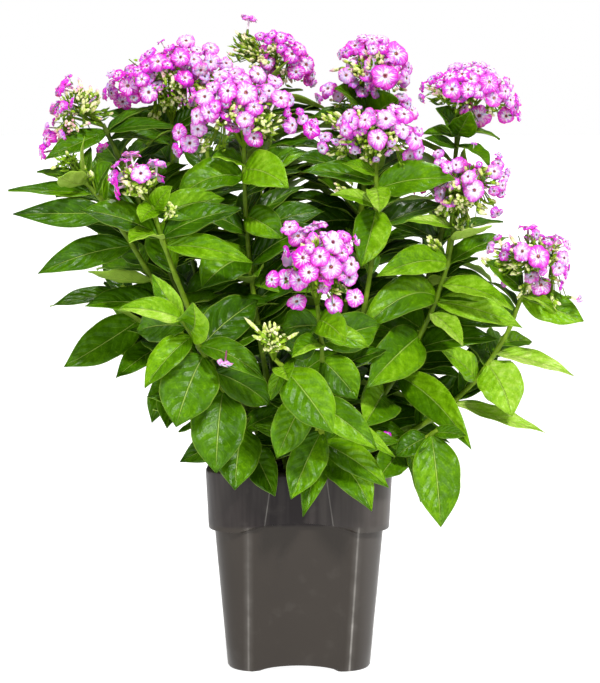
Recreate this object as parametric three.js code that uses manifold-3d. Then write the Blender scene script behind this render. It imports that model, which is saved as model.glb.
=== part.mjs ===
// A garden phlox in flower, growing in a square nursery pot.
// Millimetres, +Z up, origin in the middle of the pot's underside.
import * as THREE from "three";
import { mergeVertices } from "three/addons/utils/BufferGeometryUtils.js";
import Module from "manifold-3d";

const wasm = await Module();
wasm.setup();
const { Manifold, Mesh } = wasm;

// ---------------------------------------------------------------- driving dimensions

// Pot
const POT_HEIGHT = 190;
const RIM_HALF = 85;
const RIM_BAND = 56;
const RIM_FLARE = 2.5;
const RIM_ROUND = 1;
const BODY_TOP_HALF = 77;
const BODY_BASE_HALF = 66;
const POT_WALL = 2.4;
const CORNER_RADIUS = 26;
const FLOOR_THICK = 3;
const FOOT_ARCH = 5;
const BOSS_HALF = 38;
const BOSS_CORNER = 12;
const BAND_ARCH = 8.5;
const PANEL_RECESS = 2.2;
const PANEL_EDGE = 5;
const PANEL_SHARE = 0.52;
const PANEL_BELLY = 1.35;
const PANEL_ARCH_SHARE = 0.55;
const DRAIN_RADIUS = 5;
const DRAIN_PLACE = 26;
const DRAIN_SIDES = 8;
const CORNER_STEPS = 3;

// Soil and the gaps between neighbours
const SOIL_TOP = 182;
const SOIL_GAP = 0.4;
const HOLE_MARGIN = 0.85;
const HOLE_SIDES = 6;
const SEAT_GAP = 0.3;
const ROOT_DEPTH = 12;
const STEM_COLLAR = 4;
const CLEARANCE = 0.6;
const GAP_SEARCH = 1;

// Stems
const STEM_RADIUS = 2.7;
const STEM_TOP_RADIUS = 1.9;
const STEM_SIDES = 5;
const STEM_STEPS = 5;

// Leaves
const LEAF_THICK = 1.5;
const LEAF_FOLD = 0.14;
const LEAF_WAVE = 0.035;
const LEAF_STATIONS = [0.3, 0.68];
const LARGE_LEAF_WIDTH = 37;
const LARGE_LEAF_STATIONS = [0.25, 0.52, 0.8];
const LEAF_ROOT = 0.5;
const LEAF_CREST = 0.45;
const LEAF_OUTWARD_BOW = 0.6;
const LAST_LEAF = 0.96;
const BLADE_SKEW = 0.85;
const BLADE_FULLNESS = 0.9;

// Opposite pairs of leaves
const PAIR_STEP = 47;
const PAIR_START = 26;
const PAIR_LENGTH = 84;
const PAIR_WIDTH = 0.4;
const PAIR_ARCH = 0.14;
const PAIR_TWIST = 0.5;
const PAIR_TOP_RISE = 0.55;
const PAIR_DROOP = 0.75;
const PAIR_TAPER = 0.35;
const PAIR_FRONT = 0.2;
const PAIR_TURN = 0.4;
const PAIR_TURNED = 0.3;

// Florets and buds
const FLORET_RADIUS = 12.5;
const FLORET_SPACING = 20;
const FLORET_STAGGER = 2;
const FLORET_NOTCH = 0.72;
const FLORET_LIFT = 0.4;
const FLORET_NECK = 1.8;
const FLORET_DISH = 1.4;
const FLORET_EYE = 0.4;
const FLORET_COUNT = 26;
const LOWEST_FLORET = -0.25;
const LOOSE_SPACING = 24;
const FLATTEST_FLORET = 0.02;
const BACK_OF_HEAD = 0.05;
const BUD_TAPER = 5;
const BUD_SPACING = 15;
const LOWEST_BUD = -0.4;
const PINK_BUDS = 2;
const BUD_HEAD_BUDS = 20;
const BUD_RADIUS = 2.1;
const CORE_DEPTH = 15;
const CORE_SMALLEST = 6;
const CORE_LARGEST = 60;
const ROOT_SINK = 3;
const PEDUNCLE_RADIUS = 2.4;

// The front grid: squares of GRID mm on an upright plane through the pot's axis, seen from an eye
// in front of the plant. A place is written as squares to the right, squares down, and its depth
// in mm behind (+) or in front of (-) the pot's axis.
const GRID = 0.924;
const GRID_RIGHT = 299;
const GRID_DOWN = 341.5;
const EYE_BACK = 2600;
const EYE_HEIGHT = 697;
const AIM_HEIGHT = 297;

// Flowering and leafy stems: root (mm from the axis, right and back), a place halfway up, the top.
const STEMS = [
  { name: "left_high", root: [-46, 8], mid: [160, 250, -20], top: [103, 124, -30] },
  { name: "left_outer", root: [-50, -18], mid: [150, 275, -60], top: [82, 178, -70] },
  { name: "left_shoot", root: [-52, 28], mid: [170, 355, 20], top: [122, 285, 15] },
  { name: "left_front", root: [-34, -44], mid: [218, 380, -105], top: [180, 316, -128] },
  { name: "left_inner", root: [-38, -32], mid: [185, 300, -85], top: [152, 203, -98] },
  { name: "left_back", root: [-30, 24], mid: [192, 260, 15], top: [172, 120, 5] },
  { name: "centre", root: [-12, -24], mid: [254, 300, -50], top: [244, 146, -52] },
  { name: "centre_back", root: [-12, 44], mid: [262, 260, 55], top: [266, 84, 65] },
  { name: "right_back", root: [12, 30], mid: [352, 270, 40], top: [371, 104, 42] },
  { name: "right_inner", root: [24, -16], mid: [366, 300, -45], top: [376, 164, -45] },
  { name: "right_high", root: [44, 24], mid: [425, 290, 15], top: [459, 122, 5] },
  { name: "right", root: [26, -2], mid: [418, 340, -28], top: [456, 215, -32] },
  { name: "right_outer", root: [38, 4], mid: [461, 396, -20], top: [527, 280, -38] },
  { name: "right_low", root: [46, -34], mid: [398, 453, -68], top: [437, 430, -92] },
  { name: "front_high", root: [6, -42], mid: [322, 400, -100], top: [317, 303, -128] },
  { name: "front_low", root: [22, -54], mid: [315, 412, -120], top: [274, 358, -150] },
  { name: "rear_left", root: [-28, 50], mid: [225, 280, 85], top: [205, 125, 105] },
  { name: "rear_right", root: [26, 52], mid: [352, 290, 90], top: [378, 140, 112] },
  { name: "rear_far", root: [50, 50], mid: [425, 330, 90], top: [452, 212, 92] },
];

// The stems that stand in the front row.
const FRONT_ROW = [
  "left_outer", "left_front", "left_inner", "right_inner", "right", "right_outer", "right_low",
  "front_high", "front_low",
];

// Heads: the stem that carries it, the middle of the dome on the front grid, its half width and
// half height in squares, its half depth in mm, and the florets whose places matter, each by its
// place on the front grid. A head with no pink florets is a head of buds.
const HEADS = [
  { stem: "left_high", at: [74, 112, -32], half: [26, 34, 26], florets: [
    [58, 84], [54, 104], [66, 111], [47, 139], [42, 153], [84, 140]] },
  { stem: "left_outer", at: [71, 160, -72], half: [14, 12, 13], florets: [] },
  { stem: "left_inner", at: [139, 180, -100], half: [24, 20, 24], florets: [
    [141, 173], [158, 162], [131, 155], [115, 187], [113, 174]] },
  { stem: "left_back", at: [167, 76, 2], half: [54, 34, 40], florets: [
    [189, 44], [182, 61], [158, 62], [128, 86], [125, 103], [151, 96], [143, 80], [110, 88],
    [196, 66], [212, 50], [208, 66], [186, 80], [226, 62], [168, 47], [140, 64], [222, 78]] },
  { stem: "centre", at: [236, 106, -54], half: [58, 38, 42], florets: [
    [228, 91], [246, 92], [255, 107], [244, 120], [256, 139], [258, 77], [276, 84], [283, 101],
    [291, 125], [206, 98], [211, 113], [199, 116], [179, 135], [190, 144], [201, 129], [176, 152],
    [240, 78], [222, 80]] },
  { stem: "centre_back", at: [277, 56, 66], half: [34, 28, 34], florets: [
    [248, 18], [281, 37], [292, 52], [305, 66], [296, 74], [263, 37], [313, 80]] },
  { stem: "right_back", at: [372, 72, 40], half: [36, 30, 34], florets: [
    [356, 45], [371, 40], [396, 55], [384, 76], [406, 72], [346, 74], [382, 47], [407, 88],
    [346, 58], [327, 92]] },
  { stem: "right_inner", at: [374, 130, -46], half: [46, 26, 34], florets: [
    [348, 120], [366, 122], [387, 118], [378, 138], [402, 114], [416, 137], [411, 156], [325, 137],
    [336, 142], [324, 149], [355, 152], [311, 128], [402, 98]] },
  { stem: "right_high", at: [472, 92, 4], half: [44, 24, 36], florets: [
    [452, 92], [468, 90], [470, 75], [489, 85], [479, 115], [452, 77], [455, 67], [480, 64],
    [505, 99], [514, 110], [494, 98], [506, 115], [431, 80], [421, 90], [500, 76]] },
  { stem: "right", at: [464, 184, -34], half: [40, 28, 34], florets: [
    [439, 166], [424, 175], [474, 191], [469, 177], [498, 166], [505, 173], [494, 192], [501, 190],
    [499, 158], [495, 214]] },
  { stem: "right_outer", at: [538, 256, -40], half: [36, 30, 32], florets: [
    [527, 228], [522, 252], [538, 256], [542, 285], [557, 238], [563, 262], [566, 276], [504, 251],
    [498, 240], [567, 246], [577, 296]] },
  { stem: "front_high", at: [317, 264, -138], half: [36, 34, 32], florets: [
    [296, 236], [286, 252], [302, 258], [319, 258], [331, 268], [332, 245], [270, 281], [286, 280],
    [299, 280], [310, 273], [298, 302], [334, 305], [354, 298], [350, 265], [348, 276], [345, 244],
    [318, 222], [307, 230], [325, 237]] },
  { stem: "front_low", at: [272, 337, -152], half: [22, 16, 20], florets: [[249, 322]] },
  { stem: "rear_left", at: [203, 104, 108], half: [38, 24, 34], florets: [] , pink: true },
  { stem: "rear_right", at: [380, 118, 116], half: [38, 24, 34], florets: [], pink: true },
  { stem: "rear_far", at: [450, 186, 92], half: [36, 26, 34], florets: [], pink: true },
];

// Leaves that give the plant its outline, stem by stem. Each row is the height of its base, its
// tip and the tip's depth on the front grid, its width in mm, how much it arches, and how far its
// upper side turns to the front (1) or to the back (-1).
const LEAVES = {
  left_high: [
    [131, 45, 159, -70, 24, 0.02, 0.6],
    [133, 178, 128, -48, 18, 0.12, 0.3],
    [139, 170, 145, -20, 22, 0.15, 0.3],
    [126, 152, 107, 0, 18, 0.1, 0.2],
  ],
  left_outer: [
    [194, 8, 190, -62, 20, 0.02, 0.3],
    [180, 58, 176, -112, 24, -0.12, -0.5],
    [183, 83, 136, -62, 12, 0.05, 0.4],
    [181, 37, 172, -40, 16, 0.1, 0.2],
    [194, 112, 163, -92, 26, 0.1, 0.5],
    [213, 13, 214, -75, 27, 0, 0.8],
    [246, 37, 274, -80, 30, 0.1, 0.7],
    [281, 88, 271, -88, 19, -0.08, -0.5],
  ],
  left_shoot: [
    [296, 50, 307, -12, 21, 0.1, 0.5],
    [317, 64, 367, -12, 38, -0.03, 0.8],
    [345, 116, 378, -35, 27, 0.05, 0.7],
    [368, 152, 423, 5, 26, 0.1, 0.8],
    [379, 167, 428, -30, 34, 0.1, 0.8],
  ],
  left_front: [
    [336, 145, 388, -152, 28, 0.12, 0.5],
    [355, 176, 427, -142, 52, 0.1, 0.9],
    [390, 216, 473, -130, 50, 0.08, 0.9],
    [430, 180, 462, -84, 28, 0.02, 0.8],
    [428, 235, 490, -112, 42, 0.1, 0.9],
    [319, 120, 308, -152, 24, 0.12, 0.5],
    [318, 152, 274, -122, 20, -0.1, 0.7],
    [332, 193, 303, -168, 32, -0.2, 0.8],
    [327, 137, 331, -100, 32, 0.15, 0.7],
    [346, 265, 380, -138, 26, 0.25, 0.3],
    [348, 258, 300, -78, 38, 0.1, 0.8],
    [372, 270, 405, -86, 34, 0.12, 0.7],
    [449, 275, 496, -110, 30, 0.1, 0.9],
  ],
  left_inner: [
    [216, 225, 199, -76, 28, 0.1, 0.8],
    [240, 129, 243, -138, 26, 0.2, 0.4],
    [246, 253, 263, -112, 24, 0.15, 0.5],
    [207, 141, 222, -126, 20, 0.1, 0.8],
    [206, 172, 186, -120, 18, 0.05, 0.8],
  ],
  centre: [
    [178, 177, 200, -78, 34, 0.3, 0.5],
    [171, 289, 188, -98, 36, 0.25, 0.6],
    [216, 283, 238, -78, 30, 0.15, 0.6],
    [257, 202, 288, -88, 42, 0.2, 0.6],
    [165, 213, 156, -72, 22, 0.1, 0.4],
  ],
  centre_back: [
    [92, 331, 112, 45, 18, 0.1, 0.1],
    [88, 288, 60, 28, 14, 0.1, 0.4],
  ],
  right_back: [
    [109, 335, 88, 8, 30, 0.1, 0.5],
    [108, 399, 100, 5, 34, 0.1, 0.8],
    [120, 312, 117, 28, 24, 0.1, 0.5],
  ],
  right_inner: [
    [210, 361, 267, -98, 34, 0.12, 0.9],
    [190, 455, 179, -68, 34, 0.12, 0.6],
    [184, 301, 172, -66, 24, 0.15, 0.3],
    [172, 343, 163, -78, 14, 0.05, 0.5],
    [188, 379, 213, -96, 22, 0.1, 0.9],
    [206, 331, 194, -84, 16, 0.1, 0.4],
  ],
  right_high: [
    [127, 423, 134, -18, 16, 0.1, 0.3],
    [147, 424, 138, -26, 14, 0.02, 0.5],
    [147, 490, 166, -28, 20, 0.2, 0.4],
    [130, 470, 112, -34, 26, 0.05, 0.9],
    [128, 500, 139, -14, 14, 0.2, 0.3],
  ],
  right: [
    [228, 405, 221, -62, 14, 0.1, 0.3],
    [240, 492, 226, -76, 22, -0.08, 0.3],
    [264, 376, 277, -92, 30, 0.2, 0.5],
    [297, 358, 334, -84, 36, 0.45, 0.5],
    [285, 513, 309, -74, 24, 0.15, 0.5],
    [302, 523, 328, -56, 28, 0.1, 0.6],
    [313, 463, 346, -80, 22, 0.1, 0.6],
    [336, 367, 387, -106, 44, 0.12, 0.9],
    [375, 471, 449, -106, 33, 0.14, 0.9],
    [392, 364, 426, -104, 42, 0.12, 0.9],
    [330, 372, 306, 4, 38, 0.1, 0.7],
  ],
  right_outer: [
    [298, 584, 321, -48, 31, 0.02, 0.7],
    [294, 556, 313, -76, 16, 0.1, 0.5],
    [353, 574, 375, -52, 23, 0.06, 0.4],
    [364, 512, 416, -64, 41, 0.12, 0.9],
    [402, 545, 433, -52, 22, 0, 0.4],
    [325, 450, 320, -14, 28, 0.1, 0.5],
    [345, 532, 342, 12, 20, 0.1, 0.3],
    [281, 486, 262, -58, 26, 0.06, 0.5],
    [380, 442, 351, -58, 26, 0.1, 0.6],
  ],
  right_low: [
    [434, 441, 527, -116, 43, 0.03, 0.95],
    [437, 396, 456, -96, 24, 0.1, 0.4],
    [452, 378, 479, -106, 30, 0.1, 0.6],
    [433, 466, 436, -100, 14, 0.1, 0.6],
    [449, 420, 502, -92, 16, 0.1, 0.1],
  ],
  front_high: [
    [320, 346, 342, -168, 28, 0.15, 0.8],
    [332, 369, 347, -122, 20, 0.1, 0.5],
    [360, 357, 399, -128, 34, 0.1, 0.7],
    [345, 292, 357, -166, 22, 0.2, 0.3],
    [345, 380, 325, -88, 36, 0.1, 0.8],
  ],
  front_low: [
    [371, 333, 433, -178, 42, 0.1, 0.9],
    [400, 377, 449, -152, 30, 0.12, 0.7],
    [412, 395, 457, -136, 20, 0.12, 0.5],
    [396, 277, 458, -146, 34, 0.08, 0.9],
    [432, 291, 499, -138, 34, 0.08, 0.9],
    [443, 389, 488, -128, 28, 0.1, 0.6],
    [455, 372, 511, -130, 36, 0.3, 0.8],
    [455, 303, 517, -124, 24, 0.3, 0.8],
    [366, 288, 380, -176, 20, 0.1, 0.7],
    [368, 271, 400, -152, 14, 0.1, 0.2],
  ],
};

// The foliage as it is seen on the front grid: no leaf of a pair reaches out of this outline.
const FOLIAGE_EDGE = [
  [14, 214], [8, 188], [40, 166], [96, 126], [150, 105], [176, 122], [212, 150], [262, 100],
  [288, 60], [330, 108], [400, 98], [420, 128], [470, 110], [502, 138], [500, 190], [520, 260],
  [584, 321], [540, 345], [524, 365], [514, 392], [528, 426], [486, 428], [470, 449], [440, 527],
  [398, 478], [372, 511], [303, 517], [216, 473], [180, 462], [172, 430], [152, 418], [116, 378],
  [64, 367], [78, 325], [52, 307], [76, 284], [37, 274], [70, 240],
];

// ---------------------------------------------------------------- small helpers

const UP = new THREE.Vector3(0, 0, 1);
const FRONT = new THREE.Vector3(0, -1, 0);
const TURN = Math.PI * 2;

function vector(x, y, z) {
  return new THREE.Vector3(x, y, z);
}

// Repeatable draws between 0 and 1.
function makeDraw(seed) {
  let state = seed >>> 0;
  return () => {
    state = (Math.imul(state, 1664525) + 1013904223) >>> 0;
    return state / 4294967296;
  };
}

// The point of a place on the front grid.
function gridPoint([right, down, depth]) {
  const rise = EYE_HEIGHT - AIM_HEIGHT;
  const reach = Math.hypot(EYE_BACK, rise);
  const across = ((right - GRID_RIGHT) * GRID) / reach;
  const over = ((GRID_DOWN - down) * GRID) / reach;
  const ray = vector(across, (EYE_BACK + over * rise) / reach, (over * EYE_BACK - rise) / reach);
  return vector(0, -EYE_BACK, EYE_HEIGHT).addScaledVector(ray, (depth + EYE_BACK) / ray.y);
}

// Where on the front grid a point is seen: squares to the right and squares down.
function gridPlace(point) {
  const rise = EYE_HEIGHT - AIM_HEIGHT;
  const reach = Math.hypot(EYE_BACK, rise);
  const back = point.y + EYE_BACK;
  const up = point.z - EYE_HEIGHT;
  const away = (back * EYE_BACK - up * rise) / reach;
  const over = (back * rise + up * EYE_BACK) / reach;
  const right = GRID_RIGHT + ((point.x / away) * reach) / GRID;
  return [right, GRID_DOWN - ((over / away) * reach) / GRID];
}

// Whether a point is seen inside an outline on the front grid: a ray to the right crosses it an odd
// number of times.
function seenInside(point, outline) {
  const [right, down] = gridPlace(point);
  const crossings = outline.filter(([x0, y0], i) => {
    const [x1, y1] = outline[(i + 1) % outline.length];
    return y0 > down !== y1 > down && right < x0 + ((down - y0) / (y1 - y0)) * (x1 - x0);
  });
  return crossings.length % 2 === 1;
}

// A closed skin over rings of points. Each ring runs anticlockwise about the way the rings go, a
// ring of one point closes the skin, and the cuts across its quads alternate.
function skin(rings) {
  const starts = [];
  const numbers = [];
  for (const ring of rings) {
    starts.push(numbers.length / 3);
    ring.forEach((point) => numbers.push(point.x, point.y, point.z));
  }
  const faces = [];
  for (let i = 0; i + 1 < rings.length; i += 1) {
    const below = rings[i].length;
    const above = rings[i + 1].length;
    const count = Math.max(below, above);
    for (let k = 0; k < count; k += 1) {
      const a0 = starts[i] + Math.floor((k * below) / count);
      const a1 = starts[i] + (Math.floor(((k + 1) * below) / count) % below);
      const b0 = starts[i + 1] + Math.floor((k * above) / count);
      const b1 = starts[i + 1] + (Math.floor(((k + 1) * above) / count) % above);
      const pair = k % 2 === 0 ? [[a0, a1, b1], [a0, b1, b0]] : [[a0, a1, b0], [a1, b1, b0]];
      pair.filter((face) => new Set(face).size === 3).forEach((face) => faces.push(...face));
    }
  }
  const last = starts.length - 1;
  for (let k = 1; k + 1 < rings[0].length; k += 1) {
    faces.push(starts[0], starts[0] + k + 1, starts[0] + k);
  }
  for (let k = 1; k + 1 < rings[last].length; k += 1) {
    faces.push(starts[last], starts[last] + k, starts[last] + k + 1);
  }
  const geometry = new THREE.BufferGeometry();
  geometry.setAttribute("position", new THREE.Float32BufferAttribute(numbers, 3));
  geometry.setIndex(faces);
  return geometry;
}

// A closed geometry as a solid that can be joined and cut.
function solid(geometry) {
  const bare = geometry.clone();
  bare.deleteAttribute("normal");
  bare.deleteAttribute("uv");
  const merged = mergeVertices(bare);
  const vertProperties = new Float32Array(merged.attributes.position.array);
  const triVerts = new Uint32Array(merged.index.array);
  return new Manifold(new Mesh({ numProp: 3, vertProperties, triVerts }));
}

function namedMesh(name, body, material) {
  const { numProp, vertProperties, triVerts } = body.getMesh();
  const geometry = new THREE.BufferGeometry();
  geometry.setAttribute("position", new THREE.Float32BufferAttribute(vertProperties, numProp));
  geometry.setIndex([...triVerts]);
  geometry.computeVertexNormals();
  const mesh = new THREE.Mesh(geometry, material);
  mesh.name = name;
  return mesh;
}

// The way square to a direction that lies nearest to +X, or to +Y where the direction is along X.
function sideOf(along) {
  const near = Math.abs(along.x) > 0.99 ? vector(0, 1, 0) : vector(1, 0, 0);
  return near.addScaledVector(along, -near.dot(along)).normalize();
}

// A ring of points about a centre, square to a direction.
function ringAbout(centre, along, radius, sides) {
  const side = sideOf(along);
  const other = along.clone().cross(side).normalize();
  const points = [];
  for (let k = 0; k < sides; k += 1) {
    const angle = (k * TURN) / sides;
    const point = centre.clone().addScaledVector(side, radius * Math.cos(angle));
    points.push(point.addScaledVector(other, radius * Math.sin(angle)));
  }
  return points;
}

// ---------------------------------------------------------------- pot and soil

// One level of the pot: a square with round corners and a shallow panel sunk in each side. lift
// raises the middle of each side, and recess sinks it.
function potRing(half, radius, z, lift, recess) {
  const panel = half * PANEL_SHARE;
  const corner = half - radius;
  const side = [
    [-panel - PANEL_EDGE, 0, 0],
    [-panel, 1, PANEL_ARCH_SHARE],
    [0, PANEL_BELLY, 1],
    [panel, 1, PANEL_ARCH_SHARE],
    [panel + PANEL_EDGE, 0, 0],
  ];
  const points = [];
  for (let k = 0; k < 4; k += 1) {
    const turn = (k * TURN) / 4;
    const place = (along, out, height) =>
      vector(
        out * Math.cos(turn) - along * Math.sin(turn),
        out * Math.sin(turn) + along * Math.cos(turn),
        height,
      );
    for (const [along, sunk, raised] of side) {
      points.push(place(along, half - recess * sunk, z + lift * raised));
    }
    for (let step = 0; step <= CORNER_STEPS; step += 1) {
      const angle = (step * TURN) / 4 / CORNER_STEPS;
      points.push(place(corner + radius * Math.sin(angle), corner + radius * Math.cos(angle), z));
    }
  }
  return points;
}

function makePot() {
  const bandBottom = POT_HEIGHT - RIM_BAND;
  const floor = FOOT_ARCH + FLOOR_THICK;
  const rings = [
    [vector(0, 0, 0)],
    potRing(BOSS_HALF, BOSS_CORNER, 0, 0, 0),
    potRing(BODY_BASE_HALF, CORNER_RADIUS, 0, FOOT_ARCH, PANEL_RECESS),
    potRing(BODY_TOP_HALF, CORNER_RADIUS, bandBottom - 1, BAND_ARCH, PANEL_RECESS),
    potRing(RIM_HALF - RIM_FLARE, CORNER_RADIUS + 2, bandBottom, BAND_ARCH, PANEL_RECESS),
    potRing(RIM_HALF, CORNER_RADIUS + 4, POT_HEIGHT - 4 * RIM_ROUND, 0, PANEL_RECESS),
    potRing(RIM_HALF - RIM_ROUND, CORNER_RADIUS + 3, POT_HEIGHT, 0, PANEL_RECESS),
    potRing(RIM_HALF - POT_WALL - RIM_ROUND, CORNER_RADIUS, POT_HEIGHT, 0, PANEL_RECESS),
    potRing(BODY_TOP_HALF - POT_WALL, CORNER_RADIUS - POT_WALL, bandBottom, 0, PANEL_RECESS),
    potRing(BODY_BASE_HALF - POT_WALL, CORNER_RADIUS - POT_WALL, floor, 0, PANEL_RECESS),
    [vector(0, 0, floor)],
  ];
  let pot = solid(skin(rings));
  for (let k = 0; k < 4; k += 1) {
    const angle = ((k + 0.5) * TURN) / 4;
    const hole = new THREE.CylinderGeometry(DRAIN_RADIUS, DRAIN_RADIUS, 4 * floor, DRAIN_SIDES);
    hole.rotateX(Math.PI / 2);
    hole.translate(DRAIN_PLACE * Math.cos(angle), DRAIN_PLACE * Math.sin(angle), 0);
    pot = pot.subtract(solid(hole));
  }
  return pot;
}

function makeSoil(stems) {
  const bandBottom = POT_HEIGHT - RIM_BAND;
  const share = (SOIL_TOP - bandBottom) / RIM_BAND;
  const flare = (RIM_HALF - RIM_ROUND - BODY_TOP_HALF) * share;
  const topHalf = BODY_TOP_HALF + flare - POT_WALL - SOIL_GAP;
  const bandHalf = BODY_TOP_HALF - POT_WALL - SOIL_GAP;
  const baseHalf = BODY_BASE_HALF - POT_WALL - SOIL_GAP;
  const bottom = FOOT_ARCH + FLOOR_THICK + SEAT_GAP;
  const corner = CORNER_RADIUS - POT_WALL;
  const rings = [
    [vector(0, 0, bottom)],
    potRing(baseHalf, corner, bottom, 0, PANEL_RECESS),
    potRing(bandHalf, corner, bandBottom, 0, PANEL_RECESS),
    potRing(topHalf, CORNER_RADIUS, SOIL_TOP, 0, PANEL_RECESS),
    [vector(0, 0, SOIL_TOP)],
  ];
  let soil = solid(skin(rings));
  for (const { root } of stems) {
    const depth = ROOT_DEPTH + SEAT_GAP;
    const radius = STEM_RADIUS + HOLE_MARGIN;
    const hole = new THREE.CylinderGeometry(radius, radius, depth * 2, HOLE_SIDES);
    hole.rotateX(Math.PI / 2);
    hole.translate(root[0], root[1], SOIL_TOP);
    soil = soil.subtract(solid(hole));
  }
  return soil;
}

// ---------------------------------------------------------------- stems

// A stem's way up: straight out of the soil, then one smooth bow through its halfway place.
function stemPath({ root, mid, top }) {
  const start = vector(root[0], root[1], SOIL_TOP + STEM_COLLAR);
  const end = gridPoint(top);
  const bow = gridPoint(mid).multiplyScalar(2);
  bow.addScaledVector(start, -0.5).addScaledVector(end, -0.5);
  return new THREE.QuadraticBezierCurve3(start, bow, end);
}

function makeStem(path, root) {
  const foot = vector(root[0], root[1], SOIL_TOP - ROOT_DEPTH);
  const rings = [ringAbout(foot, UP, STEM_RADIUS, STEM_SIDES)];
  for (let i = 0; i <= STEM_STEPS; i += 1) {
    const t = i / STEM_STEPS;
    const level = i === 0 || i === STEM_STEPS;
    const along = level ? UP : path.getTangent(t);
    const radius = STEM_RADIUS + (STEM_TOP_RADIUS - STEM_RADIUS) * t;
    rings.push(ringAbout(path.getPoint(t), along, radius, STEM_SIDES));
  }
  return solid(skin(rings));
}

// A point on a stem's axis, which runs straight between its rings.
function stemPoint(path, share) {
  const step = Math.min(Math.floor(share * STEM_STEPS), STEM_STEPS - 1);
  const low = path.getPoint(step / STEM_STEPS);
  const high = path.getPoint((step + 1) / STEM_STEPS);
  return low.lerp(high, share * STEM_STEPS - step);
}

// Where on a stem a given height of the front grid is reached.
function shareAtDown(path, down) {
  let low = 0;
  let high = 1;
  for (let i = 0; i < 30; i += 1) {
    const middle = (low + high) / 2;
    if (gridPlace(stemPoint(path, middle))[1] > down) {
      low = middle;
    } else {
      high = middle;
    }
  }
  return low;
}

// ---------------------------------------------------------------- leaves

// Half width of a blade at a share of its length, 1 at its widest.
function bladeWidth(share) {
  return Math.sin(Math.PI * share ** BLADE_SKEW) ** BLADE_FULLNESS;
}

// A leaf from its base in the stem to its tip: a blade with a lens section, folded up along its
// midrib, with slightly waved edges.
function makeLeaf({ base, tip, width, arch, turn, wave }) {
  const chord = tip.clone().sub(base);
  const length = chord.length();
  const outward = vector(base.x + tip.x, base.y + tip.y, 0).normalize();
  const bow = UP.clone().addScaledVector(outward, LEAF_OUTWARD_BOW);
  bow.addScaledVector(chord, -bow.dot(chord) / length ** 2).normalize();
  const face = bow.clone().multiplyScalar(1 - Math.abs(turn)).addScaledVector(FRONT, turn);
  const middle = base.clone().addScaledVector(chord, LEAF_CREST);
  middle.addScaledVector(bow, arch * length);
  const path = new THREE.QuadraticBezierCurve3(base, middle, tip);
  const rings = [[base.clone().addScaledVector(chord, LEAF_ROOT / length)]];
  const stations = width > LARGE_LEAF_WIDTH ? LARGE_LEAF_STATIONS : LEAF_STATIONS;
  stations.forEach((share, i) => {
    const along = path.getTangent(share);
    const right = along.clone().cross(face).normalize();
    const up = right.clone().cross(along);
    const half = (width / 2) * bladeWidth(share);
    const centre = path.getPoint(share);
    const lift = half * LEAF_FOLD * 2;
    const sway = length * LEAF_WAVE * wave * (i % 2 === 0 ? 1 : -1);
    rings.push([
      centre.clone().addScaledVector(up, LEAF_THICK / 2),
      centre.clone().addScaledVector(right, half).addScaledVector(up, lift + sway),
      centre.clone().addScaledVector(up, -LEAF_THICK / 2),
      centre.clone().addScaledVector(right, -half).addScaledVector(up, lift - sway),
    ]);
  });
  rings.push([tip]);
  return solid(skin(rings));
}

// The ways a leaf that is placed by hand may bend to clear its neighbours: its tip moves nearer
// or further along the line of sight, and its arch changes.
const DEPTH_SHIFTS = [0, -9, 9, -18, 18, -28, 28, -40, 40];
const ARCH_SHIFTS = [0, 0.12, -0.12];

function* placedBends([down, right, low, depth, width, arch, turn], path, wave) {
  const base = stemPoint(path, Math.min(shareAtDown(path, down), LAST_LEAF));
  for (const more of ARCH_SHIFTS) {
    for (const shift of DEPTH_SHIFTS) {
      const tip = gridPoint([right, low, depth + shift]);
      yield { base, tip, width, arch: arch + more, turn, wave };
    }
  }
}

// The ways a leaf of an opposite pair may bend: round the stem, up or down, and shorter.
const PAIR_BENDS = [
  [0, 0, 1], [14, 0, 1], [-14, 0, 1], [0, 16, 1], [0, -16, 1], [24, 12, 0.95], [-24, 12, 0.95],
  [24, -12, 0.95], [-24, -12, 0.95], [0, 32, 0.9], [0, -32, 0.9], [40, 0, 0.85], [-40, 0, 0.85],
  [20, 30, 0.75], [-20, 30, 0.75], [20, -30, 0.75], [-20, -30, 0.75], [0, 0, 0.6],
];

function* pairBends({ base, heading, slope, length, wave }) {
  const degree = Math.PI / 180;
  for (const [round, lift, size] of PAIR_BENDS) {
    const yaw = heading + round * degree;
    const pitch = slope + lift * degree;
    const reach = length * size;
    const flat = reach * Math.cos(pitch);
    const rise = reach * Math.sin(pitch);
    const tip = base.clone().add(vector(flat * Math.cos(yaw), flat * Math.sin(yaw), rise));
    const turn = Math.sin(yaw) < PAIR_TURNED ? PAIR_TURN : 0;
    if (seenInside(tip, FOLIAGE_EDGE)) {
      yield { base, tip, width: reach * PAIR_WIDTH, arch: PAIR_ARCH, turn, wave };
    }
  }
}

// The opposite pairs that fill a stem, each pair square to the one below it. Stems in the front row
// leave out those that point forwards.
function pairsOf(path, frontRow, draw) {
  const length = path.getLength();
  const leaves = [];
  const count = Math.floor((length - PAIR_START) / PAIR_STEP);
  for (let i = 0; i < count; i += 1) {
    const share = (PAIR_START + i * PAIR_STEP) / length;
    const base = stemPoint(path, share);
    const twist = draw() * PAIR_TWIST + i * (TURN / 4);
    for (const side of [0, 1]) {
      const heading = twist + (side * TURN) / 2;
      const slope = (PAIR_TOP_RISE - PAIR_DROOP * (1 - share)) * (0.7 + 0.6 * draw());
      const size = PAIR_LENGTH * (1 - PAIR_TAPER * share ** 3) * (0.85 + 0.25 * draw());
      const wave = draw() - 0.5;
      const forward = -Math.sin(heading);
      if (!frontRow || forward < PAIR_FRONT) {
        leaves.push({ base, heading, slope, length: size, wave });
      }
    }
  }
  return leaves;
}

// ---------------------------------------------------------------- flower heads

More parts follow.
